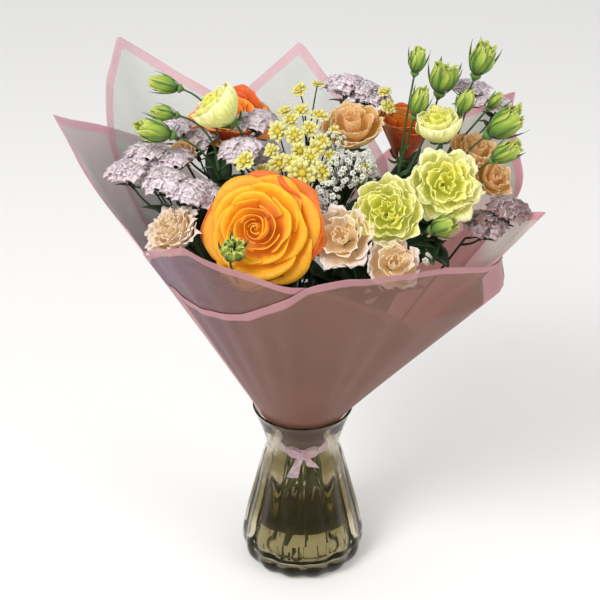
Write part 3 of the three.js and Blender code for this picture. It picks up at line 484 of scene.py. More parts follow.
sepal_skin = petal_material(
    "green_sepal_skin", [(0.0, "#3f6a2a"), (0.6, "#5f8a36"), (1.0, "#6b8a40")], "#34522a",
    veins=14, glow=0.03)
dark_leaf = leaf_material("dark_green_leaf_waxy", "#24401f", "#50704a", "#1c3419")
grey_leaf = leaf_material("blue_green_leaf_waxy", "#3e6238", "#7f9c72", "#35552f")
fresh_stem = stem_material("fresh_green_stem", "#4f7038", "#35572a")
dark_stem = stem_material("dark_green_wiry_stem", "#4c5c38", "#2b3a20")
print("materials so far:", len(bpy.data.materials))

# %% [markdown]
# ## Stems in one spiral
# A florist turns the bouquet in one hand and lays every stem across the last at one angle,
# so that they cross at a single binding point and fan out above and below it. Each stem is
# a straight line that grazes a small ring at the binding, which makes the whole set a
# hyperboloid. Three rings hold inner, middle and outer stems.

# %% The spiral
BINDING_HEIGHT = 148
FOOT_HEIGHT = 34
RINGS = {"inner": (3.2, 0.12), "middle": (8.4, 0.24), "outer": (13.8, 0.35)}
FORK_STEP = 7  # how far down the stem each branch leaves it, below the one before

# Each stem: its ring, the top of its straight part and its radius, in millimetres.
STEMS = {
    "rose_front": ("middle", (-27, -34, 378), 2.2),
    "rose_left": ("outer", (-62, 72, 425), 2.1),
    "rose_right": ("outer", (98, 60, 420), 2.1),
    "lisianthus_left": ("middle", (-84, 6, 452), 1.5),
    "lisianthus_centre": ("outer", (76, -30, 392), 1.5),
    "lisianthus_right": ("outer", (135, -12, 420), 1.6),
    "lisianthus_back": ("outer", (95, 16, 436), 1.6),
    "lisianthus_front": ("outer", (-58, -108, 385), 1.3),
    "peach_front": ("outer", (52, -58, 362), 1.6),
    "peach_left": ("outer", (-96, -42, 378), 1.6),
    "peach_back": ("inner", (42, 14, 435), 1.6),
    "peach_right": ("outer", (145, 6, 412), 1.6),
    "peach_small": ("outer", (-98, 12, 428), 1.4),
    "statice_left": ("outer", (-108, -22, 408), 1.5),
    "statice_middle_left": ("middle", (-92, 22, 440), 1.4),
    "statice_centre": ("inner", (-42, 12, 448), 1.4),
    "statice_back": ("middle", (44, 50, 468), 1.5),
    "statice_back_right": ("outer", (150, 40, 470), 1.4),
    "statice_right": ("outer", (158, -30, 398), 1.4),
    "santini_front": ("inner", (-3, -16, 428), 1.3),
    "santini_back": ("middle", (4, 36, 462), 1.3),
    "gypsophila": ("middle", (34, -28, 425), 1.1),
}
TOPS = {name: top for name, (_, top, _) in STEMS.items()}
RADII = {name: radius for name, (_, _, radius) in STEMS.items()}
print("stems in the spiral:", len(STEMS))


# %% Where a stem runs
def place_stems():
    """Gives each stem its slot on its ring, in the order of the stems' directions."""
    slots = {}
    for ring, (ring_radius, _) in RINGS.items():
        members = []
        for name, (its_ring, (x, y, z), _) in STEMS.items():
            if its_ring == ring:
                reach = math.sqrt(max(x * x + y * y - ring_radius ** 2, 4))
                wanted = math.atan2(y, x) - math.atan2(reach, ring_radius)
                members.append((wanted, name, reach / (z - BINDING_HEIGHT)))
        members.sort()
        pitch = 2 * math.pi / len(members)
        start = sum(wanted - i * pitch for i, (wanted, _, _) in enumerate(members))
        start /= len(members)
        for i, (wanted, name, slope) in enumerate(members):
            slots[name] = (start + i * pitch, wanted, slope)
    return slots


SLOTS = place_stems()


def stem_point(name, height):
    """A point of a stem: a straight line that grazes its ring at the binding height."""
    ring_radius, foot_spread = RINGS[STEMS[name][0]]
    slot, wanted, slope = SLOTS[name]
    rise = height - BINDING_HEIGHT
    if rise < 0:
        spread = -rise * foot_spread
        turn = slot - math.atan2(spread, ring_radius)
    else:
        spread = slope * rise
        share = smooth_step(rise / (TOPS[name][2] - BINDING_HEIGHT), 0, 1)
        turn = slot + math.atan2(spread, ring_radius) + (wanted - slot) * share
    radius = math.hypot(ring_radius, spread)
    return np.array([radius * math.cos(turn), radius * math.sin(turn), height])


print("foot of the front rose's stem:", stem_point("rose_front", FOOT_HEIGHT).round(1))


# %% Stems and branches
def new_stem(name):
    """A shape that holds one straight stem, a little thinner towards its top."""
    shape, steps = new_shape(), 26
    heights = np.concatenate([[FOOT_HEIGHT, 90],
                              np.linspace(BINDING_HEIGHT, TOPS[name][2], 7)])
    path = smooth_path([stem_point(name, height) for height in heights], steps)
    add_tubes(shape, path, np.linspace(RADII[name], RADII[name] * 0.85, steps), sides=10)
    return shape


def add_branch(shape, start, end, arrival, thick, thin, sides, steps=14, pull=0.5):
    """A branch on a curve (quadratic Bezier) that arrives along a direction; gives its path."""
    start, end = np.asarray(start, float), np.asarray(end, float)
    control = end - unit(arrival) * np.linalg.norm(end - start) * pull
    t = np.linspace(0, 1, steps)[:, None]
    path = (1 - t) ** 2 * start + 2 * t * (1 - t) * control + t * t * end
    add_tubes(shape, path, np.linspace(thick, thin, steps), sides=sides)
    return path


print("points in one stem:", new_stem("rose_front")["count"])

# %% [markdown]
# ## Petals
# Almost everything in a flower is a petal: a strip of a turned surface whose edge is
# rounded, waved and rolled. One function makes them all. Its petal starts at a base radius
# and height, ends at a top radius and height, spans an angle to each side, and can belly
# out, wave (ruffle) and fray (frill) near its rim, and roll its lip outward (curl). A rose, a
# ruffled lisianthus, a bud and its sepals are then only lists of petals with different
# numbers.

# %% The petal surface
GOLDEN_ANGLE = 180 * (3 - math.sqrt(5))
PETAL_THICKNESS = 0.35
USUAL_PETAL = dict(base_height=0, open=0.9, cup=1.5, tip=0.2, round=2.4, narrow=0.5,
                   ruffle=0, waves=3, frill=0, frills=9, curl=0, lap=0, belly=0, sag=1,
                   phase=0)


def petal_grids(petals, columns, rows):
    """Grids of petals round +Z: each is a turned strip with a rounded, waved, rolled rim.

    Its radius and height run from base to top as powers of t, the share of the way along;
    the wave moves the surface along its normal, and the roll bends its last third outward.
    """
    petals = [{**USUAL_PETAL, **petal} for petal in petals]
    p = SimpleNamespace(**{key: np.array([petal[key] for petal in petals],
                                         float)[:, None, None] for key in petals[0]})
    u = np.linspace(-1, 1, columns)[None, :, None]
    v = np.linspace(0, 1, rows)[None, None, :]
    fray = p.frill * (np.sin(p.frills * math.pi * u + p.phase * 5)
                      + 0.7 * np.sin(p.frills * 1.7 * math.pi * u + p.phase * 3))
    reach = v * (1 - p.tip * np.abs(u) ** p.round + fray * v ** 8)
    t = np.clip(reach, 0, 1.2)
    inside = np.clip(t, 0, 1)
    width = p.narrow + (1 - p.narrow) * np.sin(np.clip(t * 1.2, 0, 1) * math.pi / 2)
    turn = np.radians(p.angle) + np.radians(p.half) * width * u
    radius = (p.base_radius + (p.top_radius - p.base_radius) * t ** p.open
              + p.belly * np.sin(math.pi * inside ** p.sag))
    height = (p.base_height + (p.top_height - p.base_height)
              * (1 - (1 - inside) ** p.cup + np.clip(t - 1, 0, 1)))
    wave = p.ruffle * inside ** 3 * (
        np.sin(p.waves * math.pi * u + p.phase)
        + 0.45 * np.sin(p.waves * 2.3 * math.pi * u + p.phase * 1.7))
    rise = np.gradient(height, axis=2)
    run = np.gradient(radius, axis=2)
    length = np.maximum(np.hypot(rise, run), 1e-6)
    roll = p.curl * np.clip((t - 0.62) / 0.38, 0, 1.3) ** 2
    radius = radius - wave * rise / length + p.lap * u * t + roll
    height = height + wave * run / length - roll * 0.75
    return np.stack([radius * np.cos(turn), radius * np.sin(turn), height], axis=-1)


def add_petals(shape, petals, columns, rows, place, facing, finish=0, shades=0.0):
    """Adds petals made round +Z, turned to face a direction at a place."""
    grids = placed(petal_grids(petals, columns, rows), place, facing)
    add_sheets(shape, grids, PETAL_THICKNESS, finish, shades)


print("numbers that a petal may leave out:", len(USUAL_PETAL))

# %% Rings of petals
# Rings of a rose: petals, reach and height of their rims as shares of the bloom, half angle,
# and how far their lips roll back.
OPEN_ROSE = [(2, 0.045, 0.97, 150, 0.0), (3, 0.17, 0.97, 100, 0.01),
             (4, 0.33, 0.95, 72, 0.03), (5, 0.52, 0.88, 58, 0.06), (5, 0.72, 0.77, 52, 0.09),
             (6, 0.88, 0.62, 44, 0.12)]
LOOSE_ROSE = [(2, 0.1, 0.8, 130, 0.0), (3, 0.24, 0.86, 90, 0.02), (4, 0.46, 0.92, 62, 0.05),
              (5, 0.72, 0.88, 50, 0.1), (5, 0.9, 0.74, 42, 0.15)]
TALL_ROSE = [(2, 0.12, 0.9, 130, 0.0), (3, 0.26, 0.95, 90, 0.02), (4, 0.46, 0.97, 64, 0.04),
             (5, 0.7, 0.9, 50, 0.1)]


def rose_petals(radius, tall, rings, seed):
    """A rose: rings of petals, furled at the heart and rolled back further out."""
    draw = np.random.default_rng(seed).uniform
    petals = []
    for ring, (count, reach, rim, half, curl) in enumerate(rings):
        t = ring / (len(rings) - 1)
        petals += [dict(
            angle=360 / count * (k + draw(-0.1, 0.1)) + ring * 47,
            half=half * draw(0.92, 1.06), base_radius=radius * mix(0.03, 0.2, t),
            top_radius=radius * reach * draw(0.93, 1.04),
            base_height=radius * tall * mix(0.45, 0.08, t),
            top_height=radius * tall * rim * draw(0.94, 1.04),
            open=mix(0.7, 1.0, t), cup=mix(1.2, 1.6, t), tip=mix(0.05, 0.22, t),
            round=mix(2.4, 1.7, t), narrow=0.6, belly=radius * mix(0.05, 0.09, t),
            ruffle=radius * mix(0.01, 0.035, t), waves=draw(0.8, 1.5), phase=draw(0, 6),
            curl=radius * curl, lap=radius * mix(0.05, 0.07, t)) for k in range(count)]
    return petals


def lisianthus_petals(radius, opening, seed, rings, ruffle, frill):
    """A double lisianthus: three petals furled at the heart, then rings of four and five."""
    draw = np.random.default_rng(seed).uniform
    petals = []
    for ring in range(rings):
        t = 1 - ring / max(rings - 1, 1)
        count = 5 if t > 0.6 else 4 if t > 0.2 else 3
        petals += [dict(
            angle=360 / count * k + 41 * ring + draw(-9, 9),
            half=mix(86, 62, t) * draw(0.92, 1.08), base_radius=radius * mix(0.03, 0.15, t),
            top_radius=radius * mix(0.17, mix(0.62, 0.84, opening), t ** 0.9)
            * draw(0.9, 1.05),
            base_height=radius * mix(0.3, 0.05, t),
            top_height=radius * mix(mix(1.04, 0.96, opening), mix(1.0, 0.6, opening),
                                    t ** 1.4) * draw(0.92, 1.06),
            open=0.85, cup=mix(1.3, 1.8, opening * t), tip=mix(0.06, 0.16, t), round=2.3,
            narrow=mix(0.6, 0.42, t), ruffle=radius * ruffle * mix(0.4, 0.62, t),
            waves=draw(1.7, 2.5), frill=frill, frills=7, phase=draw(0, 6),
            curl=radius * mix(0.02, 0.16 * opening, t), lap=radius * 0.07, sag=0.85,
            belly=radius * mix(0.1, mix(0.3, 0.2, opening), t), depth=1 - t)
            for k in range(count)]
    return petals


print("petals in the open rose:", len(rose_petals(57, 1, OPEN_ROSE, 1)))

# %% [markdown]
# ## Roses
# Three garden roses of one orange kind: one wide open at the front, and two half open at
# the back, of which only tall outer petals show. The open rose faces the viewer, so its
# seat lies behind and below its centre along the way that it faces. Inner petals are a
# golden yellow-orange; the outermost guard petals are redder, which their shade sets.

# %% Roses
SEAT_GAP = 0.35
# A rose's guard petals each have an angle, a reach and a height.
ROSES = {
    "rose_front": dict(
        centre=(-36, -92, 437), facing=(-0.1, -0.85, 0.5), turned=(-0.22, -0.84, 0.47),
        radius=57, tall=1.0, rings=OPEN_ROSE, finish=orange_rose, slot="orange_rose_petal",
        guards=[(-28, 0.9, 0.5), (8, 0.95, 0.56), (66, 0.82, 0.6), (160, 0.9, 0.5)]),
    "rose_left": dict(
        centre=(-72, 72, 476), facing=(0.05, -0.35, 0.93), turned=(0.05, -0.25, 0.96),
        radius=45, tall=1.3, rings=LOOSE_ROSE, finish=red_rose, slot="red_orange_rose_petal",
        guards=[(60, 0.62, 1.06), (100, 0.6, 0.98), (200, 0.98, 0.62)]),
    "rose_right": dict(
        centre=(104, 66, 469), facing=(0.1, -0.3, 0.95), turned=(0.05, -0.02, 1.0),
        radius=37, tall=1.5, rings=TALL_ROSE, finish=red_rose, slot="red_orange_rose_petal",
        guards=[(70, 0.55, 1.0), (-70, 0.78, 0.8)]),
}


def seat_of(bloom):
    """Where a bloom's heart begins: behind its centre, along the way that it faces."""
    depth = bloom["radius"] * 0.6 * bloom["tall"] if "tall" in bloom else bloom["radius"] * 0.5
    return np.array(bloom["centre"]) - unit(bloom["facing"]) * depth


def guard_petals(radius, tall, guards):
    """The outermost petals: broad, redder and rolled back."""
    return [dict(angle=angle, half=44, base_radius=radius * 0.2, top_radius=radius * reach,
                 base_height=radius * tall * 0.05, top_height=radius * tall * rim, open=0.8,
                 cup=1.5, tip=0.2, round=1.8, narrow=0.5, belly=radius * 0.14,
                 ruffle=radius * 0.05, waves=1.3, phase=angle, curl=radius * 0.13,
                 lap=radius * 0.05) for angle, reach, rim in guards]


def make_bloom(name, bloom, petals, shades, columns, rows, guards=()):
    """Makes a bloom's piece from its petals, with its guard petals if it has any."""
    shape = new_shape()
    seat = seat_of(bloom) + unit(bloom["facing"]) * SEAT_GAP
    turned = bloom["turned"] or bloom["facing"]
    add_petals(shape, petals, columns, rows, seat, turned, shades=shades)
    if guards:
        add_petals(shape, guards, columns, rows, seat, turned, shades=0.85)
    make_piece(shape, name + "_petals", name + "_bloom", [bloom["finish"]])


for seed, (name, rose) in enumerate(ROSES.items()):
    petals = rose_petals(rose["radius"], rose["tall"], rose["rings"], 5 + seed)
    outward = np.clip(np.arange(len(petals)) / len(petals) - 0.7, 0, 1) * 0.7
    make_bloom(name, rose, petals, outward, 23, 14,
               guard_petals(rose["radius"], rose["tall"], rose["guards"]))
print_faces("rose")

# %% [markdown]
# ## Lisianthus
# A double lisianthus has rings of wide petals, five outside, then four and three, with waved
# and slightly frayed rims, and it opens from a goblet to a nearly flat rosette. The yellow
# ones here are mint green at the foot and cream at the rim; the peach ones run from apricot
# to cream. The inner rings are smaller and stand more upright, so the middle stays full.

# %% Lisianthus blooms
# Each bloom: its centre, the way its stem comes, the way its petals open (None for the same),
# radius, opening, finish, slot, rings, ruffle, frill, size of its petals and its stem.
KEYS = ("centre", "facing", "turned", "radius", "open", "finish", "slot", "rings", "ruffle",
        "frill", "size", "stem")
YELLOW = (yellow_lisianthus, "yellow_petal")
CREAM = (cream_lisianthus, "cream_petal")
APRICOT = (apricot_lisianthus, "apricot_petal")
BLOOMS = {name: dict(zip(KEYS, row)) for name, row in {
    "lisianthus_left": ((-76, -8, 519), (-0.62, -0.25, 0.74), (-0.68, 0.0, 0.73), 30, 0.2,
                        *YELLOW, 3, 0.12, 0.03, 1.1, "lisianthus_left"),
    "lisianthus_centre": ((78, -70, 443), (-0.1, -0.78, 0.62), (-0.08, -0.82, 0.56), 34,
                          0.45, *YELLOW, 4, 0.17, 0.03, 1.15, "lisianthus_centre"),
    "lisianthus_right": ((135, -46, 463), (0.2, -0.8, 0.57), (0.06, -0.86, 0.5), 36, 0.75,
                         *YELLOW, 4, 0.17, 0.03, 1.1, "lisianthus_right"),
    "lisianthus_back": ((130, -4, 499), (-0.2, -0.25, 0.95), None, 24, 0.1,
                        *YELLOW, 3, 0.14, 0.02, 1.2, "lisianthus_back"),
    "peach_front_left": ((37, -88, 422), (-0.2, -0.8, 0.57), (-0.2, -0.72, 0.66), 29, 0.7,
                         *CREAM, 3, 0.15, 0.02, 1.16, "peach_front"),
    "peach_front_right": ((84, -105, 403), (0.2, -0.82, 0.54), (0.1, -0.7, 0.7), 26, 0.7,
                          *CREAM, 3, 0.15, 0.02, 1.12, "peach_front"),
    "peach_left": ((-119, -64, 417), (-0.3, -0.65, 0.7), (-0.5, -0.42, 0.76), 33, 0.7,
                   *CREAM, 5, 0.2, 0.07, 1.0, "peach_left"),
    "peach_back": ((49, 24, 489), (-0.1, -0.35, 0.93), None, 37, 0.6,
                   *APRICOT, 3, 0.12, 0.025, 1.0, "peach_back"),
    "peach_right": ((166, 13, 464), (0.25, -0.3, 0.93), None, 23, 0.5,
                    *APRICOT, 3, 0.17, 0.03, 1.3, "peach_right"),
    "peach_right_low": ((180, -12, 452), (0.45, -0.6, 0.66), None, 19, 0.5,
                        *APRICOT, 3, 0.17, 0.03, 1.3, "peach_right"),
    "peach_small": ((-118, 10, 468), (-0.3, -0.4, 0.87), None, 20, 0.5,
                    *APRICOT, 4, 0.14, 0.03, 1.0, "peach_small"),
}.items()}

for seed, (name, bloom) in enumerate(BLOOMS.items()):
    petals = lisianthus_petals(bloom["radius"] * bloom["size"], bloom["open"], 20 + seed,
                               bloom["rings"], bloom["ruffle"], bloom["frill"])
    inward = np.array([petal["depth"] for petal in petals]) * 0.8
    make_bloom(name, bloom, petals, inward, 33, 12)
print_faces("peach")

# %% [markdown]
# ## The film
# The wrap is frosted plastic film in seven sheets. They are gathered at the neck by the
# ribbon and flare outward, layer over layer, like a cone that is not quite round. Every
# sheet is cut from a square, so its top edge is a corner of that square, and a printed pink
# border runs along its cut edges; on the front right one a corner is turned over, which
# shows the border again at the fold. All the sheets share one surface, so they never cross:
# its radius grows with height, faster at some angles than at others, and each layer lies
# 1.3 mm outside the last. Gathering leaves pleats that fan out from the neck, and the loose
# tops wave a little. Seven cloths in one neck are too tangled to simulate, so a formula
# lays them. The flat size that each sheet's surface has is worked out and printed.

# %% The shared surface of the film
FILM_LAYER = 1.3
FILM_BOTTOM, NECK_TOP, RIM_HEIGHT = 139, 150, 191
NECK_RADIUS, RIM_RADIUS = 19.5, 43.6
FLARE_ANGLES = np.array([-180, -150, -120, -90, -60, -36, -15, 0, 20, 50, 90, 115, 139, 160,
                         180], float)
FLARE_RATES = np.array([0.60, 0.545, 0.505, 0.507, 0.60, 0.71, 0.756, 0.70, 0.59, 0.48,
                        0.415, 0.50, 0.61, 0.61, 0.60])
# Each sheet: its layer and its top edge as (angle in degrees, height) points.
SHEETS = {
    "wrap_back": (0, [
        (44, 380), (55, 420), (67, 453), (79, 488), (91, 529), (103, 495), (115, 464),
        (127, 425)]),
    "wrap_back_left": (1, [
        (91, 390), (103, 436), (115, 466), (127, 496), (139, 540), (149, 509), (160, 460),
        (170, 390)]),
    "wrap_back_right": (1, [
        (-3, 415), (9, 454), (21, 509), (31, 486), (44, 455), (55, 427), (67, 385)]),
    "wrap_left": (2, [
        (127, 385), (139, 430), (149, 453), (160, 476), (170, 494), (180, 515), (191, 480),
        (203, 425)]),
    "wrap_right": (2, [
        (-50, 345), (-36, 405), (-22, 452), (-14, 438), (-3, 416), (9, 385), (21, 335)]),
    "wrap_front_left": (3, [
        (-169, 370), (-155, 403), (-141, 425), (-127, 441), (-115, 427), (-103, 418),
        (-90, 411), (-77, 399), (-64, 381), (-50, 350), (-36, 310)]),
    "wrap_front_right": (4, [
        (-155, 364), (-141, 356), (-127, 357), (-115, 364), (-103, 382), (-90, 409),
        (-77, 425), (-64, 431), (-50, 428), (-36, 414), (-22, 398), (-14, 389), (-3, 366),
        (9, 325)]),
}
# The front right sheet bows out round its turned corner: its layer, millimetres and degrees.
BOWED_LAYER, BOW, BOW_ANGLE, BOW_HALF = 4, 26, -18, 48
print("sheets:", len(SHEETS))


# %% The film's radius
def flare_rate(wrapped):
    """How fast the film flares at an angle in degrees, smooth between the table's points."""
    i = np.clip(np.searchsorted(FLARE_ANGLES, wrapped, side="right") - 1, 0,
                len(FLARE_ANGLES) - 2)
    share = (wrapped - FLARE_ANGLES[i]) / (FLARE_ANGLES[i + 1] - FLARE_ANGLES[i])
    share = share * share * (3 - 2 * share)
    return FLARE_RATES[i] + (FLARE_RATES[i + 1] - FLARE_RATES[i]) * share


def film_waves(angle, height):
    """Pleats near the neck and slow waves at the top, the same for every layer."""
    turn = np.radians(angle)
    pleat = 0.9 * np.sin(29 * turn + 0.8 * np.sin(5 * turn)) * smooth_step(
        height, 205, 330) * (1 - 0.7 * smooth_step(height, 330, 480))
    slow = 2.4 * np.sin(11 * turn + 0.9) + 1.7 * np.sin(17 * turn + height * 0.012)
    return pleat + slow * smooth_step(height, 290, 460)


def film_radius(angle, height, layer):
    """Radius of the film: a cone at the neck and a flare above the rim, then bow and waves."""
    neck = NECK_RADIUS + (RIM_RADIUS - NECK_RADIUS) * np.clip(
        (height - NECK_TOP) / (RIM_HEIGHT - NECK_TOP), 0, 1)
    rise = np.clip(height - RIM_HEIGHT, 0, None)
    wrapped = (angle + 180) % 360 - 180
    bow = 0.0
    if layer == BOWED_LAYER:
        away = np.clip(np.abs(wrapped - BOW_ANGLE) / BOW_HALF, 0, 1)
        climb = np.interp(height, [191, 300, 362, 388], [0, 0.62, 1, 0])
        bow = BOW * climb * (1 - away ** 2) ** 2
    return neck + flare_rate(wrapped) * rise + layer * FILM_LAYER + 0.4 + bow \
        + film_waves(angle, height)


def film_points(angle, height, layer):
    """Points of the film at angles and heights."""
    radius = film_radius(angle, height, layer)
    turn = np.radians(angle)
    return np.stack([radius * np.cos(turn), radius * np.sin(turn),
                     np.broadcast_to(height, radius.shape)], axis=-1)


print("film radius at the rim and at 400 mm:",
      film_radius(np.array([-90.0]), np.array([191.0, 400.0]), 3).round(1))

# %% [markdown]
# Each sheet is a grid from the neck to its cut edge. Its shade holds the distance in
# millimetres to the nearest cut edge or fold, measured in the sheet's own shape, and the
# material prints the pink border where that distance is under 9.5 mm. Frosting scatters
# what is seen through the film. The two sheets on the right have only the pale room behind
# them, so theirs is rough transmission, with a faint painted glow, emitted by the film, that
# stands in for the light passing through it; on the others a plain see-through share keeps
# the pink bands of the layers behind them crisp.

# %% Film material
def film_material(name, low, high, side, pink, see_low, see_high, side_from=-0.02,
                  side_to=-0.16, rise_from=0.19, rise_to=0.46, frosted=False):
    """Frosted polypropylene film, calendered: milky, with a translucent pink border.

    It gives the eye a dull gloss, soft creases and the colours behind it, washed out. From
    low to high it turns from one colour to the other, and towards the side to a third. A
    darker low colour is painted shade for the shaded stems and leaves seen through the film;
    on the two sheets on the right the pink low colour is a painted glow, and on the front
    sheets the purple-grey side colour is a painted reflection.
    """
    material, add = new_material(name)
    place = add("TexCoord").outputs["Object"]
    parts = add("SeparateXYZ", {0: place}).outputs
    rise = add("MapRange", {0: parts["Z"], 1: rise_from, 2: rise_to},
               interpolation_type="SMOOTHSTEP")
    aside = add("MapRange", {0: parts["X"], 1: side_from, 2: side_to},
                interpolation_type="SMOOTHSTEP")
    upward = add("Mix", {0: rise, 6: low, 7: high}, data_type="RGBA")
    toned = add("Mix", {0: aside, 6: upward.outputs[2], 7: side}, data_type="RGBA")
    edge = add("Attribute", attribute_name="shade").outputs["Fac"]
    border = add("MapRange", {0: edge, 1: 10.4, 2: 8.8})
    colour = add("Mix", {0: border, 6: toned.outputs[2], 7: pink}, data_type="RGBA")
    crease = add("TexNoise", {"Vector": place, "Scale": 9.0, "Detail": 4.0,
                              "Distortion": 0.6})  # creases 10 cm apart
    cloudy = add("MapRange", {0: crease, 1: 0.35, 2: 0.7, 3: 0.9, 4: 1.08})
    varied = add("VectorMath", {0: colour.outputs[2], "Scale": cloudy}, operation="SCALE")
    veil = add("MapRange", {0: rise, 3: see_low, 4: see_high})
    alpha = add("Math", {0: border, 1: 0.16, 2: veil}, operation="MULTIPLY_ADD",
                use_clamp=True)
    bump = add("Bump", {"Strength": 0.35, "Distance": 0.003, "Height": crease})
    see_through = {"Alpha": alpha, "Roughness": 0.42}
    # Painted light: the frosted sheets emit their own colour as a painted glow.
    if frosted:
        passed = add("Math", {0: 1.0, 1: alpha}, operation="SUBTRACT")
        see_through = {"Transmission Weight": passed, "IOR": 1.15, "Roughness": 0.6,
                       "Emission Color": varied, "Emission Strength": 0.14}
    return finish_material(material, {"Base Color": varied, "Normal": bump,
                                      "Specular IOR Level": 0.45, **see_through})


# Painted shade: the darker low colours stand for the shaded stems and leaves seen through the
# film.
pale_film = film_material("frosted_clear_film_calendered", "#9c9288", "#c6c9c0", "#c6c8c2",
                          "#d9a9b1", 0.5, 0.36)
side_film = film_material("frosted_clear_film_painted_shade", "#86606a", "#bfa9ae", "#b9a3a8",
                          "#dc9fb2", 0.7, 0.42, rise_from=0.37, rise_to=0.56)
# Painted light: on the two sheets on the right the pink low colour, with the emission, is a
# painted glow of light passing through the film.
right_film = film_material("frosted_clear_film_painted_glow", "#b98a86", "#d8b4b0", "#d8cfca",
                           "#d9a9b1", 0.5, 0.3, 0.168, 0.19, frosted=True)
back_right_film = film_material("frosted_clear_film_painted_pink_glow", "#d9b0ac", "#c8c5be", "#c6c8c2",
                                "#d9a9b1", 0.4, 0.36, rise_from=0.36, rise_to=0.44,
                                frosted=True)
# Painted shade and reflection: the front film's mauve-brown stands for the shaded stems behind
# it, and its purple-grey towards the left is a painted reflection.
front_film = film_material("frosted_film_painted_shade_and_reflection", "#7a5042", "#8b5f50", "#83647a",
                           "#c08a8e", 0.78, 0.5)
FILM_FINISHES = {"wrap_left": side_film, "wrap_back_right": back_right_film,
                 "wrap_right": right_film, "wrap_front_left": front_film,
                 "wrap_front_right": front_film}
print("film finishes:", len({*FILM_FINISHES.values(), pale_film}))

# %% Film sheets
FILM_THICKNESS = 0.3
# Where a border shows turned over at a fold: its angle, its foot and its spread in millimetres.
FOLDS = {"wrap_front_right": (-22, 333, 70)}


def sheet_grid(layer, edge, fold, step=1.3, rows=50):
    """A grid over angle and height up to the cut edge, and its distance to that edge or fold."""
    angles, heights = np.array(edge, float).T
    angle = np.linspace(angles[0], angles[-1], int((angles[-1] - angles[0]) / step) + 1)
    top = np.interp(angle, angles, heights)
    share = 1 - (1 - np.linspace(0, 1, rows)) ** 1.25
    height = FILM_BOTTOM + (top[:, None] - FILM_BOTTOM) * share
    points = film_points(np.broadcast_to(angle[:, None], height.shape), height, layer)
    fine = np.linspace(angles[0], angles[-1], 1100)
    top_line = film_points(fine, np.interp(fine, angles, heights), layer)
    ends = [film_points(np.full(260, angles[k]), np.linspace(200, heights[k], 260), layer)
            for k in (0, -1)]
    border = np.concatenate([top_line] + ends)
    nearest = np.stack([np.sqrt(((row[:, None] - border[None]) ** 2).sum(-1)).min(-1)
                        for row in points])
    if fold is not None:
        fold_angle, fold_foot, reach = fold
        aside = np.abs(np.radians(angle - fold_angle))[:, None] * reach
        nearest = np.where(height > fold_foot, np.minimum(nearest, aside), nearest)
    return points, np.clip(nearest, 0, 40)


def flat_size(points):
    """A sheet's width round the stems, its length up the slope, and its area in cells."""
    turn = np.unwrap(np.arctan2(points[..., 1], points[..., 0]), axis=0)
    reach = np.hypot(points[..., 0], points[..., 1])
    width = (np.abs(np.diff(turn, axis=0)) * reach[1:]).sum(0).max()
    length = np.linalg.norm(np.diff(points, axis=1), axis=-1).sum(1).max()
    crossed = np.cross(points[1:, 1:] - points[:-1, :-1], points[:-1, 1:] - points[1:, :-1])
    return float(width), float(length), float(np.linalg.norm(crossed, axis=-1).sum() / 2)


for name, (layer, edge) in SHEETS.items():
    shape = new_shape()
    points, nearest = sheet_grid(layer, edge, FOLDS.get(name))
    add_sheets(shape, points[None], FILM_THICKNESS, shade=nearest[None])
    piece = make_piece(shape, name + "_film", name,
                       [FILM_FINISHES.get(name, pale_film)])
    width, length, area = flat_size(points * MM)
    print(f"{name}: {width:.2f} by {length:.2f} m, {area:.3f} square metres")

# %% [markdown]
# ## The vase, its water and the ribbon
# The vase is pressed smoke-tinted glass: a wide foot, fourteen flutes that fade towards the
# neck, a waist where the bouquet's binding sits, and a flared mouth. It is one closed shell
# of glass with an outside and an inside wall, turned from one profile and then pressed in.
# The water stands low in it. Two walls of tinted glass darken twice, so the tint is paler
# than the smoke that the eye sees. A darker band a third to half of the way up is painted
# shade for the shaded floor and back wall seen through the glass and water, and a paler part
# from 120 mm up, round the waist, is painted light that lets the ribbon behind it show bright.

# %% Glass
FLUTES = 14
FLUTE_DEPTH = 3
FLUTE_FADE = (70, 160)  # heights between which the flutes die away
OUTSIDE_STEPS = 48
WATER_LEVEL = 58
VASE_FOOT = [(0, 0), (20, 0), (40, 0), (48, 0)]
VASE_OUTSIDE = [(52, 0), (62, 4), (67, 20), (63, 50), (53.5, 88.5), (44, 127), (39, 143),
                (45, 167), (52.6, 188)]
VASE_LIP = [(53.4, 189.6), (53.3, 190.6), (52.4, 191), (51.5, 190.6)]
VASE_INSIDE = [(51.2, 188), (42, 167), (36, 143), (40.5, 127), (49.5, 88.5), (58.5, 50),
               (61, 26), (50, 9)]


def fluted(points):
    """Presses flutes into the outer wall: it dips between ribs, ever less towards the neck."""
    x, y, z = np.moveaxis(points, -1, 0)
    radius = np.hypot(x, y)
    wave = 1 - np.abs(np.cos(FLUTES / 2 * np.arctan2(y, x))) ** 1.5
    strength = (1 - smooth_step(z, *FLUTE_FADE)) * smooth_step(radius, 30, 52)
    outer = np.arange(points.shape[1]) < len(VASE_FOOT) + OUTSIDE_STEPS
    scale = 1 - FLUTE_DEPTH * wave * strength * outer / np.maximum(radius, 1)
    return points * np.stack([scale, scale, np.ones_like(scale)], axis=-1)


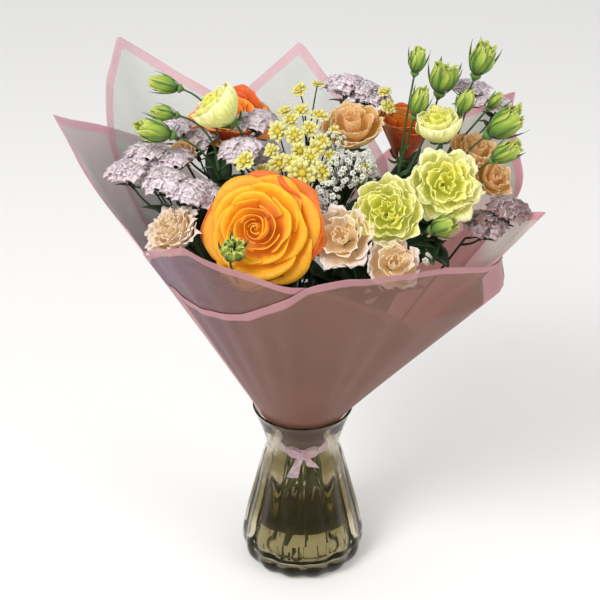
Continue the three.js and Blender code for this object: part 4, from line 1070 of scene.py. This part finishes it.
def glass_material(name, tints, roughness, index, wave=0.0):
    """Clear glass or water: light passes through and takes the tint of its height.

    The eye sees bent stems behind it, dark edges and, on the glass, a slightly rippled skin.
    On the vase the tint by height also holds painted shade and painted light.
    """
    material, add = new_material(name)
    place = add("TexCoord").outputs["Object"]
    ripple = add("TexNoise", {"Vector": place, "Scale": 38.0})  # 26 mm long
    bump = add("Bump", {"Strength": wave, "Distance": 0.002, "Height": ripple})
    parts = add("SeparateXYZ", {0: place})
    rise = add("MapRange", {0: parts.outputs["Z"], 1: 0.0, 2: 0.2})
    colour = add("ValToRGB", {0: rise}, tints)
    return finish_material(material, {
        "Base Color": colour, "Roughness": roughness, "IOR": index, "Normal": bump,
        "Specular IOR Level": 0.15, "Specular Tint": "#b3a67e", "Transmission Weight": 1.0})


# Painted light and shade: the dark stops from 70 to 100 mm are painted shade, and the pale stop
# at 120 mm is painted light for the ribbon.
smoked_glass_painted_light_and_shade = glass_material(
    "smoke_tinted_glass_painted_light_and_shade",
    [(0.1, "#e4dcc4"), (0.26, "#d3c9aa"), (0.35, "#8a7e58"), (0.5, "#8a7e58"),
     (0.6, "#ebe5da"), (0.95, "#c9bca8")], 0.01, 1.5, 0.3)
still_water = glass_material("still_water", [(0.0, "#e6e6d8"), (1.0, "#e6e6d8")], 0.0, 1.33)
print("flute pitch at the foot:", round(2 * math.pi * 67 / FLUTES), "mm")

# %% Vase and water
shape = new_shape()
add_turned(shape, np.concatenate([
    VASE_FOOT, smooth_path(VASE_OUTSIDE, OUTSIDE_STEPS), VASE_LIP,
    smooth_path(VASE_INSIDE, 40), [(30, 8.6), (0, 8.4)]]), FLUTES * 10, bend=fluted)
make_piece(shape, "vase_glass", "vase", [smoked_glass_painted_light_and_shade])

# The water stands 0.2 mm clear of the glass.
water_radius = np.interp(WATER_LEVEL, [50, 88.5], [58.5, 49.5]) - 0.2
water_side = smooth_path([(r - 0.2, z + 0.2) for r, z in reversed(VASE_INSIDE)
                          if z < WATER_LEVEL] + [(water_radius, WATER_LEVEL)], 24)
shape = new_shape()
add_turned(shape, np.concatenate([[(0, 9.2), (30, 9.2)], water_side,
                                  [(water_radius - 0.8, WATER_LEVEL), (0, WATER_LEVEL)]]), 96)
make_piece(shape, "water_body", "water", [still_water])
print("vase and water faces:", face_counts["vase_glass"], face_counts["water_body"])

# %% [markdown]
# The ribbon is pearly: its fine weave splits light, so it turns from lilac to pink and blue
# across its folds. Here that play of light is painted sheen, a drift of lilac, near-white and
# pink over a noise. It is seen through the glass, and a faint painted glow, emitted by the
# ribbon, stands in for the light that the glass lets down to it. It is a band with a bow:
# two loops, two tails and a knot.
# The tie under the film is green crepe paper wound round wire.

# %% Ribbon and paper finishes
RIBBON_THICKNESS = 0.3
BAND_INSIDE, BAND_OUTSIDE = 25.9, 26.9
BOW_HEIGHT, TAIL_HEIGHT = 144.5, 143.5


def wound_material(name, scale, stops, inputs, bump=None):
    """Ribbon or crepe paper: colours that drift over a noise, with wrinkles if wanted."""
    material, add = new_material(name)
    place = add("TexCoord").outputs["Object"]
    drift = add("TexNoise", {"Vector": place, "Scale": scale})
    if bump is not None:
        inputs["Normal"] = add("Bump", {"Height": drift, **bump})
    inputs["Base Color"] = add("ValToRGB", {0: drift}, stops)
    return finish_material(material, inputs)


# Painted light: the near-white drift is painted sheen and the emission is a painted glow.
lilac_ribbon = wound_material(
    "lilac_ribbon_painted_sheen_and_glow", 120.0, [(0.36, "#cdb2ea"), (0.5, "#fbf4ff"),
                                         (0.64, "#fbc9dc")],
    {"Roughness": 0.25, "Sheen Weight": 0.3, "Coat Weight": 0.4,
     "Emission Color": "#e8d4f4", "Emission Strength": 0.18})
# Crepe paper scatters light from its fine wrinkles, here 1.7 mm apart: the eye sees it matt.
green_tie = wound_material(
    "green_paper_wire_wound", 600.0, [(0.3, "#3f5a34"), (0.7, "#6f8a58")],
    {"Roughness": 0.8}, {"Strength": 0.5, "Distance": 0.0004})
print("ribbon width:", 148.5 - 140.5, "mm")

# %% Ribbon and tie
shape = new_shape()
add_turned(shape, [(BAND_INSIDE, 140.5), (BAND_OUTSIDE - 0.2, 140.5), (BAND_OUTSIDE, 141),
                   (BAND_OUTSIDE, 148), (BAND_OUTSIDE - 0.2, 148.5), (BAND_INSIDE, 148.5),
                   (BAND_INSIDE, 140.5)], 96)
front = -BAND_OUTSIDE - 0.6
u, v = np.meshgrid(np.linspace(-1, 1, 7), np.linspace(0, 1, 40), indexing="ij")
for side, tail_length in ((1, 17), (-1, 30)):
    swing = 2 * np.pi * v
    reach = 8.5 * (1 - np.cos(swing))
    loop = np.stack([side * (reach * 0.92 + 0.8), front - 2.2 + reach * 0.04 + u * 3.4
                     + 0.25 * np.sin(6 * swing + u), BOW_HEIGHT + 5.0 * np.sin(swing)
                     + reach * 0.3], axis=-1)
    add_sheets(shape, loop[None], RIBBON_THICKNESS)
    tail = np.stack([side * (1.5 + v * 10) + u * 4.6 * (1 - 0.15 * np.sin(5 * v)),
                     front - 0.8 - v * 1.6 + 0.9 * np.sin(9 * v + 2 * u),
                     TAIL_HEIGHT - v * tail_length + 1.6 * np.abs(u) * (v > 0.98)], axis=-1)
    add_sheets(shape, tail[None], RIBBON_THICKNESS)
knot = [(0, -3.4), (2, -3.2), (3.1, -1.6), (2.7, 0), (3.1, 1.6), (2, 3.2), (0, 3.4)]
add_turned(shape, knot, 24,
           bend=lambda p: p * np.array([1, 0.6, 1]) + np.array([0, front, BOW_HEIGHT]))
make_piece(shape, "ribbon_bow_folds", "ribbon_bow", [lilac_ribbon])

# The wire lies in turns one above another, 2.25 mm apart.
TIE_BOTTOM, TIE_TOP, TIE_INSIDE, TIE_OUTSIDE = 143.5, 152.5, 16.9, 18.05
coil_heights = np.linspace(TIE_BOTTOM, TIE_TOP, 33)
coil = 0.25 * np.abs(np.sin(np.pi * 4 * (coil_heights - TIE_BOTTOM) / 9))
shape = new_shape()
add_turned(shape, np.concatenate([
    np.stack([TIE_OUTSIDE + coil, coil_heights], axis=-1),
    [(TIE_INSIDE, TIE_TOP), (TIE_INSIDE, TIE_BOTTOM), (TIE_OUTSIDE, TIE_BOTTOM)]]), 72)
make_piece(shape, "stem_tie_winding", "stem_tie", [green_tie])
print("ribbon faces:", face_counts["ribbon_bow_folds"])

# %% [markdown]
# ## Leaves, buds and the cups under blooms
# A leaf is folded a little along its midrib, arches down by its own weight and waves along
# its edge. A lisianthus bud is a green calyx of five slender pointed sepals round petals
# that are still wound round each other; in the riper ones the tips loosen and fray. Under
# each open bloom sits a small swollen cup with sepals of its own. All but the leaf and the
# cup are lists of petals again.

# %% Leaves
LEAF_DROOP = 0.25
LEAF_THICKNESS = 0.45
FRESH, DARK, BUD, SEPAL, GREY = range(5)  # places in a stem's list of finishes
STEM_FINISHES = [fresh_stem, dark_leaf, bud_petal, sepal_skin, grey_leaf]


def add_leaf(shape, root, way, length, width, finish, seed):
    """Adds a leaf from its root along a way: wide in the middle, folded, arching and waved."""
    draw = np.random.default_rng(seed).uniform
    columns, rows = (7, 12) if length > 20 else (5, 6)
    along = unit(way)
    across = unit(np.cross([0, 0, 1], along))
    up = np.cross(along, across)
    u = np.linspace(-1, 1, columns)[:, None]
    v = np.linspace(0, 1, rows)[None, :]
    half = width / 2 * (np.sin(math.pi * v ** 0.78) ** 0.9 + 0.1 * (1 - v) + 0.015)
    sway = length * 0.03 * np.sin(v * 3.1 + draw(0, 6)) * v
    lift = (np.abs(u) * half * 0.35 - LEAF_DROOP * length * v ** 2
            + width * 0.05 * np.sin(v * 17 + u * 2 + draw(0, 6)) * u ** 2 * (1 - v))
    points = (np.asarray(root, float) + along * (length * v)[..., None]
              + across * (half * u + sway)[..., None] + up * lift[..., None])
    add_sheets(shape, points[None], LEAF_THICKNESS, finish, (seed * 0.37) % 1)


print("finishes of a stem:", [finish.name for finish in STEM_FINISHES])


# %% Buds and cups
def sepal_ring(radius, height, half, start, flare, base=0.25):
    """Five slender pointed sepals that hug what they hold."""
    return [dict(angle=start + 72 * k, half=half, base_radius=radius * base,
                 top_radius=radius * (0.95 + flare), top_height=height, open=0.45, cup=1.0,
                 tip=0.85, narrow=0.9, belly=radius * 0.12, phase=k) for k in range(5)]


def bud_petals(length, radius, ripe, seed):
    """Wound bud petals: swollen low, drawn in above, with pointed lips that part when ripe."""
    draw = np.random.default_rng(seed).uniform
    return [dict(angle=360 / count * k + 100 * wide + seed * 30, half=50,
                 base_radius=radius * 0.12 * wide,
                 belly=radius * mix(0.7, 0.85, ripe) * wide, sag=mix(0.95, 0.7, ripe),
                 top_radius=radius * mix(0.12, 0.34, ripe) * wide,
                 top_height=length * tall * draw(0.84, 1.1), open=0.8, cup=1.05,
                 tip=mix(0.3, 0.4, ripe), round=1.5, narrow=0.6, lap=radius * 0.2,
                 ruffle=radius * 0.3 * ripe, waves=2.2, frill=0.05 * ripe, frills=4,
                 phase=draw(0, 6), curl=radius * (0.05 + draw(0.45, 0.95) * ripe))
            for count, wide, tall in [(5, 1.0, 1.0), (5, 0.72, 0.98), (3, 0.4, 0.9)]
            for k in range(count)]


def add_swelling(shape, radius, sides, place, facing):
    """A swollen cup under a bloom or bud, from its neck up to where the petals begin."""
    profile = np.array([(0, -1.25), (0.34, -1.2), (0.5, -0.9), (0.9, -0.55), (1.05, -0.2),
                        (0.95, 0.0), (0, 0)]) * radius
    profile[-1, 1] = 0.05
    add_turned(shape, profile, sides, SEPAL, bend=lambda p: placed(p, place, facing))


def add_bud(shape, place, facing, length, radius, seed, ripe):
    """A bud: wound petals in their sepals on a small cup."""
    add_petals(shape, bud_petals(length, radius, ripe, seed), 13, 10, place, facing, BUD,
               0.1)
    sepals = sepal_ring(radius, length * 0.86, 8, seed * 25, mix(0.1, 0.6, ripe))
    add_petals(shape, sepals, 5, 8, place, facing, SEPAL, 0.2)
    add_swelling(shape, radius * 0.5, 12, place, facing)


def add_cup(shape, seat, facing, radius, sepal_length, seed):
    """The cup with five sepals that lie against the underside of the bloom."""
    add_swelling(shape, radius, 16, seat, facing)
    sepals = sepal_ring(radius * 1.3, sepal_length * 0.45, 20, seed * 31,
                        sepal_length / radius * 0.45, 0.7)
    add_petals(shape, sepals, 5, 8, seat - facing * radius * 0.5, facing, SEPAL, 0.3)


print("petals in a bud:", len(bud_petals(30, 9, 0.3, 1)))

# %% Where buds and leaves sit
# Buds: foot, direction, length, radius and ripeness.
BUDS = {
    "lisianthus_left": [
        ((-120, 22, 533), (-0.9, 0.1, 0.2), 30, 9, 0.3),
        ((-122, 2, 513), (-0.93, -0.1, 0.2), 24, 8, 0.1),
        ((-126, -16, 500), (-0.85, -0.25, 0.35), 36, 11, 0.5)],
    "lisianthus_centre": [((120, -84, 432), (0.8, -0.35, 0.45), 27, 10, 0.5)],
    "lisianthus_right": [
        ((178, -6, 497), (0.75, -0.15, 0.6), 40, 12, 0.8),
        ((180, -30, 480), (0.7, -0.3, 0.62), 34, 9, 0.6)],
    "lisianthus_back": [
        ((108, 34, 545), (0.15, 0, 0.98), 27, 8.5, 0.5),
        ((133, 36, 524), (0.2, 0, 0.98), 36, 12, 0.9),
        ((108, 14, 508), (0.25, 0, 0.95), 32, 9.5, 0.3),
        ((169, 48, 538), (0.3, 0, 0.95), 36, 11, 0.8),
        ((150, 8, 512), (0.35, -0.1, 0.93), 27, 9, 0.2),
        ((181, 30, 510), (0.6, 0, 0.8), 20, 6, 0.1)],
    "lisianthus_front": [((-66, -116, 420), (0.2, -0.45, 0.87), 24, 10, 0.9)],
}
# Leaves: height of the root on the stem, direction, length and width.
LEAVES = {
    "statice_left": [
        (404, (-0.75, -0.25, 0.8), 58, 24), (402, (-0.15, -0.3, 0.95), 52, 26),
        (404, (0.5, -0.25, 0.9), 56, 27), (400, (0.15, -0.45, 0.85), 54, 26),
        (404, (-0.4, -0.35, 0.85), 54, 24)],
    "rose_front": [(352, (-0.5, -0.4, 0.75), 62, 30)],
    "rose_left": [(412, (0.9, -0.3, 0.5), 50, 24), (398, (-0.7, 0.1, 0.7), 48, 24)],
    "rose_right": [(405, (-0.7, -0.3, 0.6), 46, 24)],
    "lisianthus_left": [(440, (0.55, -0.7, 0.65), 46, 20)],
    "lisianthus_centre": [
        (385, (0.75, -0.35, 0.45), 60, 24), (372, (0.5, -0.75, 0.35), 50, 20),
        (388, (0.35, 0.25, 0.6), 46, 25), (386, (0.75, -0.05, 0.35), 54, 26),
        (384, (0.1, -0.5, 0.3), 44, 25)],
    "lisianthus_right": [
        (410, (-0.3, 0.5, 0.8), 38, 16), (385, (0.1, -0.95, 0.3), 55, 26),
        (380, (0.35, -0.85, 0.3), 58, 26)],
    "lisianthus_back": [
        (430, (-0.55, -0.5, 0.7), 40, 18), (418, (0.3, 0.7, 0.6), 44, 18),
        (428, (-0.3, -0.6, 0.75), 46, 22), (432, (0.35, -0.5, 0.8), 44, 20)],
    "lisianthus_front": [(380, (-0.7, -0.2, 0.75), 34, 12)],
    "peach_left": [
        (366, (-0.6, 0.5, 0.6), 48, 18), (372, (-0.35, 0.1, 0.95), 52, 24),
        (368, (0.2, 0.3, 0.9), 50, 22), (360, (-0.15, 0.5, 0.85), 56, 24)],
    "peach_right": [(396, (0.5, 0.6, 0.6), 40, 16)],
    "peach_back": [(420, (-0.75, 0.2, 0.6), 38, 16)],
    "peach_small": [(418, (-0.6, 0.6, 0.6), 40, 16), (415, (0.5, -0.6, 0.2), 50, 24)],
}


LOWEST_LEAF = 275
LEAF_CLEARANCE = 8  # millimetres kept between a leaf's tip and the film


def foliage(name, seed, count=11):
    """Leaves by rule: up the stem, each a golden angle on from the last, kept in the film.

    A leaf that would pass the film, or a plane that rises from the front rim to the back,
    is shortened until it fits, or left out. These dark leaves fill the inside of the bouquet,
    where there are leaves and also shade, so they stand partly for shade.
    """
    draw = np.random.default_rng(seed).uniform
    leaves = []
    for k in range(count):
        height = mix(LOWEST_LEAF, TOPS[name][2] - 12, (k + draw(0, 0.8)) / count)
        root = stem_point(name, height)
        turn = math.radians(k * GOLDEN_ANGLE) + seed
        way = unit([math.cos(turn), math.sin(turn), draw(0.7, 1.5)])
        length = draw(40, 64)
        for _ in range(8):
            x, y, z = root + way * length
            angle = np.degrees(math.atan2(y, x))
            inside = film_radius(np.array([angle]), np.array([z]), 0)[0] - LEAF_CLEARANCE
            if math.hypot(x, y) < inside and z < 428 + (y + 100) * 0.38:
                leaves.append((height, way, length, length * draw(0.34, 0.46)))
                break
            length *= 0.85
    return leaves


print("buds:", sum(map(len, BUDS.values())), "leaves:", sum(map(len, LEAVES.values())))

# %% [markdown]
# The stems of roses and lisianthus each carry branches: one to every bloom and every bud.
# A branch leaves the stem near its top, a little lower for each one, and arrives along the
# way that its flower faces.

# %% Flower stems
FLOWER_STEMS = [name for name in STEMS if name.split("_")[0] in ("rose", "lisianthus", "peach")]

for number, name in enumerate(FLOWER_STEMS):
    shape = new_stem(name)
    if name in ROSES:
        flowers = [(ROSES[name], ROSES[name]["radius"] * 0.13)]
    else:
        flowers = [(bloom, bloom["radius"] * 0.16) for bloom in BLOOMS.values()
                   if bloom["stem"] == name]
    for i, (bloom, cup) in enumerate(flowers):
        facing, seat = unit(bloom["facing"]), seat_of(bloom)
        thick = RADII[name] * 0.85
        add_branch(shape, stem_point(name, TOPS[name][2] - i * FORK_STEP),
                   seat - facing * cup * 0.8, facing, thick, thick, 8)
        add_cup(shape, seat, facing, cup, bloom["radius"] * 0.42, number + i)
    for i, (place, facing, length, radius, ripe) in enumerate(BUDS.get(name, [])):
        facing = unit(facing)
        fork = stem_point(name, TOPS[name][2] - (i + len(flowers)) * FORK_STEP)
        path = add_branch(shape, fork, place + facing * 0.5, facing, 1.3, 0.95, 7)
        add_bud(shape, place, facing, length, radius, number + i, ripe)
        add_leaf(shape, path[4], facing + np.array([0.4, 0.2, -0.3]), 13, 4, GREY,
                 number + i)
    for i, (height, way, length, width) in enumerate(LEAVES.get(name, [])
                                                     + foliage(name, number)):
        add_leaf(shape, stem_point(name, height), way, length, width,
                 GREY if i % 4 == 1 else DARK, number * 3 + i)
    make_piece(shape, name + "_stem_and_leaves", name + "_stem", STEM_FINISHES)
print_faces("stem_and")

# %% [markdown]
# ## Statice
# Statice is all paper: each floret is a pleated lilac funnel that keeps its shape when it
# dries, and the florets sit close together on flat-topped sprays above dark, winged,
# branching stems. Each spray here is a low cushion with florets set over it in a
# golden-angle spiral, and a thin ray runs from the branch to every floret.

# %% Statice paper
STATICE = {
    "statice_left": [
        (-168, -30, 468), (-148, -22, 462), (-131, -42, 462), (-108, -50, 455),
        (-152, -6, 476), (-94, -46, 450), (-126, -8, 470)],
    "statice_middle_left": [(-127, 36, 484), (-106, 36, 472)],
    "statice_centre": [(-46, 14, 500), (-60, -12, 482), (-36, 6, 466)],
    "statice_back": [(40, 66, 520), (68, 62, 508), (54, 66, 516)],
    "statice_back_right": [(166, 64, 516), (190, 46, 504)],
    "statice_right": [(197, -45, 434), (174, -54, 422)],
}
FLORETS = 36
SPRAY_WIDTH, SPRAY_DEPTH, SPRAY_DOME = 33, 25, 4.5
FUNNEL = np.array([(0, 0), (0.14, 0.2), (0.4, 0.72), (0.86, 1.0), (0.42, 0.86), (0, 0.74)])
FUNNEL_SIDES = 10


def paper_material(name):
    """Papery statice funnels: lilac, paler at the rim, with fifteen pleats round each.

    Dry and thin, they give the eye no shine at all and a little light from behind.
    """
    material, add = new_material(name)
    uv = add("UVMap", uv_map="across_and_along")
    parts = add("SeparateXYZ", {0: uv}).outputs
    along = add("ValToRGB", {0: parts["Y"]}, [ (0.0, "#8f9470"), (0.3, "#e8d2dc"), (0.6,
                                                                                    "#fae8f0"),
                                              (0.8, "#f0dce6"), (1.0, "#fdf2f4")])
    shade = add("Attribute", attribute_name="shade").outputs["Fac"]
    tinted = add("Mix", {0: shade, 6: along, 7: "#7d5450"}, data_type="RGBA")
    turn = add("Math", {0: parts["X"], 1: 2 * math.pi * 15}, operation="MULTIPLY")
    pleat = add("Math", {0: turn}, operation="SINE")
    bump = add("Bump", {"Strength": 0.3, "Distance": 0.0003, "Height": pleat})
    return finish_material(material, {
        "Base Color": tinted.outputs[2], "Roughness": 0.75, "Normal": bump,
        "Subsurface Weight": 0.4, "Subsurface Radius": (0.005, 0.004, 0.005),
        "Subsurface Scale": 1.0})


lilac_paper = paper_material("lilac_statice_paper_pleated")
print("statice sprays:", sum(map(len, STATICE.values())))


# %% Statice sprays
def funnel_grids(places, facings, size):
    """Funnels at many places: a pleated cup whose rim has five lobes."""
    radius, height = FUNNEL.T
    turn = np.linspace(0, 2 * np.pi, FUNNEL_SIDES, endpoint=False)[:, None]
    lobe = 1 + 0.24 * np.cos(5 * turn) * (radius > 0.5)
    local = np.stack([radius * lobe * np.cos(turn), radius * lobe * np.sin(turn),
                      np.broadcast_to(height, (FUNNEL_SIDES, len(height)))], axis=-1)
    turns = np.stack([facing_turn(f) for f in facings])
    grids = np.einsum("nij,abj->nabi", turns, local) * np.reshape(size, (-1, 1, 1, 1))
    return (grids + places[:, None, None]).reshape(len(places), -1, 3)


def cushion(centre, facing, seed):
    """Places and facings over a low dome, set out in a golden-angle spiral."""
    draw = np.random.default_rng(seed).uniform
    k = np.arange(FLORETS) + 0.5
    reach = np.sqrt(k / FLORETS)
    turn = k * math.radians(GOLDEN_ANGLE) + draw(-0.2, 0.2, FLORETS)
    x, y = reach * np.cos(turn), reach * np.sin(turn)
    local = np.stack([x * SPRAY_WIDTH / 2, y * SPRAY_DEPTH / 2,
                      SPRAY_DOME * (1 - reach ** 2) + draw(-1.6, 1.6, FLORETS)], axis=-1)
    leaning = unit(np.stack([x * 0.75, y * 0.75, np.ones(FLORETS)], axis=-1)
                   + draw(-0.25, 0.25, (FLORETS, 3)))
    turned = facing_turn(facing)
    return local @ turned.T + centre, leaning @ turned.T, draw


for number, (name, sprays) in enumerate(STATICE.items()):
    shape = new_stem(name)
    for i, centre in enumerate(np.array(sprays, float)):
        facing = unit([0, -0.25, 1] + unit(centre - TOPS[name]) * 0.5)
        hub = centre - facing * 9
        add_branch(shape, stem_point(name, TOPS[name][2] - i * FORK_STEP), hub, facing,
                   1.3, 0.8, 6)
        places, leanings, draw = cushion(centre, facing, number * 10 + i)
        sizes = draw(5.8, 8.2, FLORETS)
        feet = places - leanings * sizes[:, None] * 0.3
        share = np.linspace(0, 1, 4)[None, :, None]
        rays = hub * (1 - share) + feet[:, None] * share \
            + facing * (np.sin(math.pi * share) * -1.2)
        add_tubes(shape, rays, 0.35, sides=4)
        fading = draw(0.4, 1.0, FLORETS) if name == "statice_right" \
            else draw(0, 0.22, FLORETS)
        add_block(shape, funnel_grids(feet, leanings, sizes),
                  grid_quads(FUNNEL_SIDES, len(FUNNEL), True),
                  grid_uv(FUNNEL_SIDES, len(FUNNEL)), fading, 1)
        for k in range(7):
            turn = k * math.radians(GOLDEN_ANGLE)
            way = facing * 0.3 + np.array([math.cos(turn), math.sin(turn), 0.25])
            add_leaf(shape, hub - facing * k * 2.2, way, draw(11, 17), 4.5, 2, k)
    for i, (height, way, length, width) in enumerate(LEAVES.get(name, [])):
        add_leaf(shape, stem_point(name, height), way, length, width, 2, i)
    make_piece(shape, name + "_sprays", name,
               [dark_stem, lilac_paper, dark_leaf])
print_faces("statice")

# %% [markdown]
# ## Santini and gypsophila
# The santini are small double daisies: two rings of pale yellow rays round a domed disc of
# tiny tube flowers, deeper yellow with an olive rim. Gypsophila is a cloud of white double
# flowers only a few millimetres wide, on branches as thin as thread. Their rays and petals
# are petals again, with few points each, because there are hundreds.

# %% Santini finishes
# Heads: place, direction and radius.
SANTINI = {
    "santini_front": [
        ((-55, -40, 482), (-0.4, -0.6, 0.7), 11), ((-24, -6, 499), (-0.1, -0.75, 0.6), 11),
        ((-8, -14, 498), (0.1, -0.7, 0.7), 10), ((-3, -26, 487), (0, -0.9, 0.4), 10),
        ((-1, -46, 473), (0, -0.85, 0.5), 14), ((18, -44, 474), (0.2, -0.8, 0.55), 10),
        ((12, -24, 488), (0.2, -0.75, 0.6), 10), ((-22, -34, 478), (-0.2, -0.85, 0.45), 10),
        ((-38, -30, 468), (-0.3, -0.8, 0.5), 9), ((-11, -38, 480), (-0.1, -0.8, 0.6), 9),
        ((7, -36, 485), (0.1, -0.8, 0.6), 9), ((26, -24, 481), (0.3, -0.7, 0.6), 8),
        ((18, -12, 492), (0.2, -0.7, 0.7), 9), ((6, -2, 501), (0, -0.6, 0.8), 9),
        ((58, -40, 474), (0.3, -0.7, 0.6), 7), ((-30, -22, 486), (-0.3, -0.6, 0.7), 8)],
    "santini_back": [
        ((-4, 42, 524), (-0.3, -0.4, 0.85), 9), ((14, 40, 530), (0.2, 0, 1), 8),
        ((-2, 20, 511), (-0.2, -0.5, 0.85), 9), ((15, 12, 508), (0.2, -0.3, 0.9), 10),
        ((80, 47, 520), (-0.2, -0.3, 0.95), 8), ((84, 38, 508), (0.2, -0.6, 0.75), 9),
        ((-18, 20, 510), (-0.3, -0.4, 0.9), 8), ((-12, 10, 505), (-0.1, -0.6, 0.8), 9),
        ((30, 8, 493), (0.3, -0.6, 0.8), 8)],
}
DISC = np.array([(0, -0.1), (0.16, -0.1), (0.27, 0.06), (0.3, 0.16), (0.26, 0.25),
                 (0.16, 0.31), (0, 0.33)])


def disc_material(name):
    """The daisy's disc: packed tube flowers 0.7 mm apart, yellow inside an olive rim.

    Their tips give the eye fine beads, each with its own dot of light.
    """
    material, add = new_material(name)
    uv = add("UVMap", uv_map="across_and_along")
    parts = add("SeparateXYZ", {0: uv})
    colour = add("ValToRGB", {0: parts.outputs["Y"]}, [ (0.0, "#5e611c"), (0.5, "#7f7a1c"),
                                                       (0.7, "#c2a824"), (1.0, "#dcc23a")])
    place = add("TexCoord").outputs["Object"]
    beads = add("TexVoronoi", {"Vector": place, "Scale": 1400.0})
    bump = add("Bump", {"Strength": 0.8, "Distance": 0.0004, "Height": beads})
    return finish_material(material, {"Base Color": colour, "Roughness": 0.7,
                                      "Normal": bump})


santini_ray = petal_material(
    "pale_yellow_santini_ray",
    [(0.0, "#a8922a"), (0.35, "#d6c648"), (0.8, "#ece284"), (1.0, "#f4eeb0")], "#d5d070",
    veins=8, glow=0.08)
santini_disc = disc_material("yellow_santini_disc_beaded")
print("santini heads:", sum(map(len, SANTINI.values())))


# %% Santini
def daisy_rays(radius, seed):
    """Two rings of rays round a daisy's disc."""
    draw = np.random.default_rng(seed).uniform
    return [dict(angle=360 / count * (k + 0.5 * ring) + draw(-7, 7), half=18,
                 base_radius=radius * 0.18, top_radius=radius * reach * draw(0.78, 1.1),
                 base_height=radius * 0.1 * ring,
                 top_height=radius * (lift + draw(-0.16, 0.24)), open=1.0, cup=1.6,
                 tip=0.22, narrow=0.95, phase=k)
            for ring, (count, reach, lift) in enumerate([(11, 1.06, 0.1), (8, 0.74, 0.34)])
            for k in range(count)]


for number, (name, heads) in enumerate(SANTINI.items()):
    shape = new_stem(name)
    for i, (place, facing, radius) in enumerate(heads):
        facing = unit(facing)
        add_branch(shape, stem_point(name, TOPS[name][2] - i * FORK_STEP), place, facing,
                   1.0, 0.7, 6, pull=0.4)
        add_petals(shape, daisy_rays(radius, number * 20 + i), 3, 4, place, facing, 1, 0.2)
        for profile, sides, finish in (
                (DISC * radius, 18, 2),
                ([(0, -1.6), (1.4, -1.3), (radius * 0.3, 0.2), (radius * 0.2, 0.6),
                  (0, 0.6)], 12, 0)):
            add_turned(shape, profile, sides, finish,
                       bend=lambda p: placed(p, place, facing))
    make_piece(shape, name + "_heads", name,
               [dark_stem, santini_ray, santini_disc])
print_faces("santini")

# %% Gypsophila
white_gypsophila = petal_material(
    "white_gypsophila_petal", [(0.0, "#cfd6a0"), (0.4, "#f0efdc"), (1.0, "#fbfaf2")],
    "#e8e6c4", veins=6, glow=0.1)
# Each cloud: its centre, its half widths and its number of flowers.
CLOUDS = [((46, -39, 475), (27, 19, 19), 84), ((28, -3, 489), (13, 10, 9), 22),
          ((22, -60, 456), (15, 10, 18), 26), ((112, -96, 408), (9, 6, 7), 6)]
draw = np.random.default_rng(11).uniform
places, outwards = [], []
for centre, size, count in CLOUDS:
    level = 1 - 2 * (np.arange(count) + 0.5) / count
    around = np.arange(count) * math.radians(GOLDEN_ANGLE)
    wide = np.sqrt(1 - level ** 2)
    ball = np.stack([wide * np.cos(around), wide * np.sin(around), level], axis=-1)
    depth = draw(0.45, 1.02, count) ** 0.6
    places.append(np.array(centre) + ball * np.array(size) * depth[:, None])
    outwards.append(unit(ball + np.array([0, -0.4, 0.7])))

shape = new_stem("gypsophila")
for k, (place, outward) in enumerate(zip(np.concatenate(places), np.concatenate(outwards))):
    add_branch(shape, stem_point("gypsophila", TOPS["gypsophila"][2] - (k % 6) * 5), place,
               outward, 0.4, 0.22, 4, steps=6, pull=0.25)
    size = draw(2.3, 3.6)
    petals = [dict(angle=360 / count * j + k * 20, half=30, base_radius=0.1 * size,
                   top_radius=size * reach, top_height=size * tall, cup=1.6, tip=0.15,
                   ruffle=size * 0.1, phase=j)
              for count, reach, tall in ((5, 1.0, 0.35), (4, 0.6, 0.75))
              for j in range(count)]
    add_petals(shape, petals, 3, 3, place, outward, 1, draw(0, 0.5))
make_piece(shape, "gypsophila_cloud", "gypsophila",
           [dark_stem, white_gypsophila])
print_faces("gypsophila")
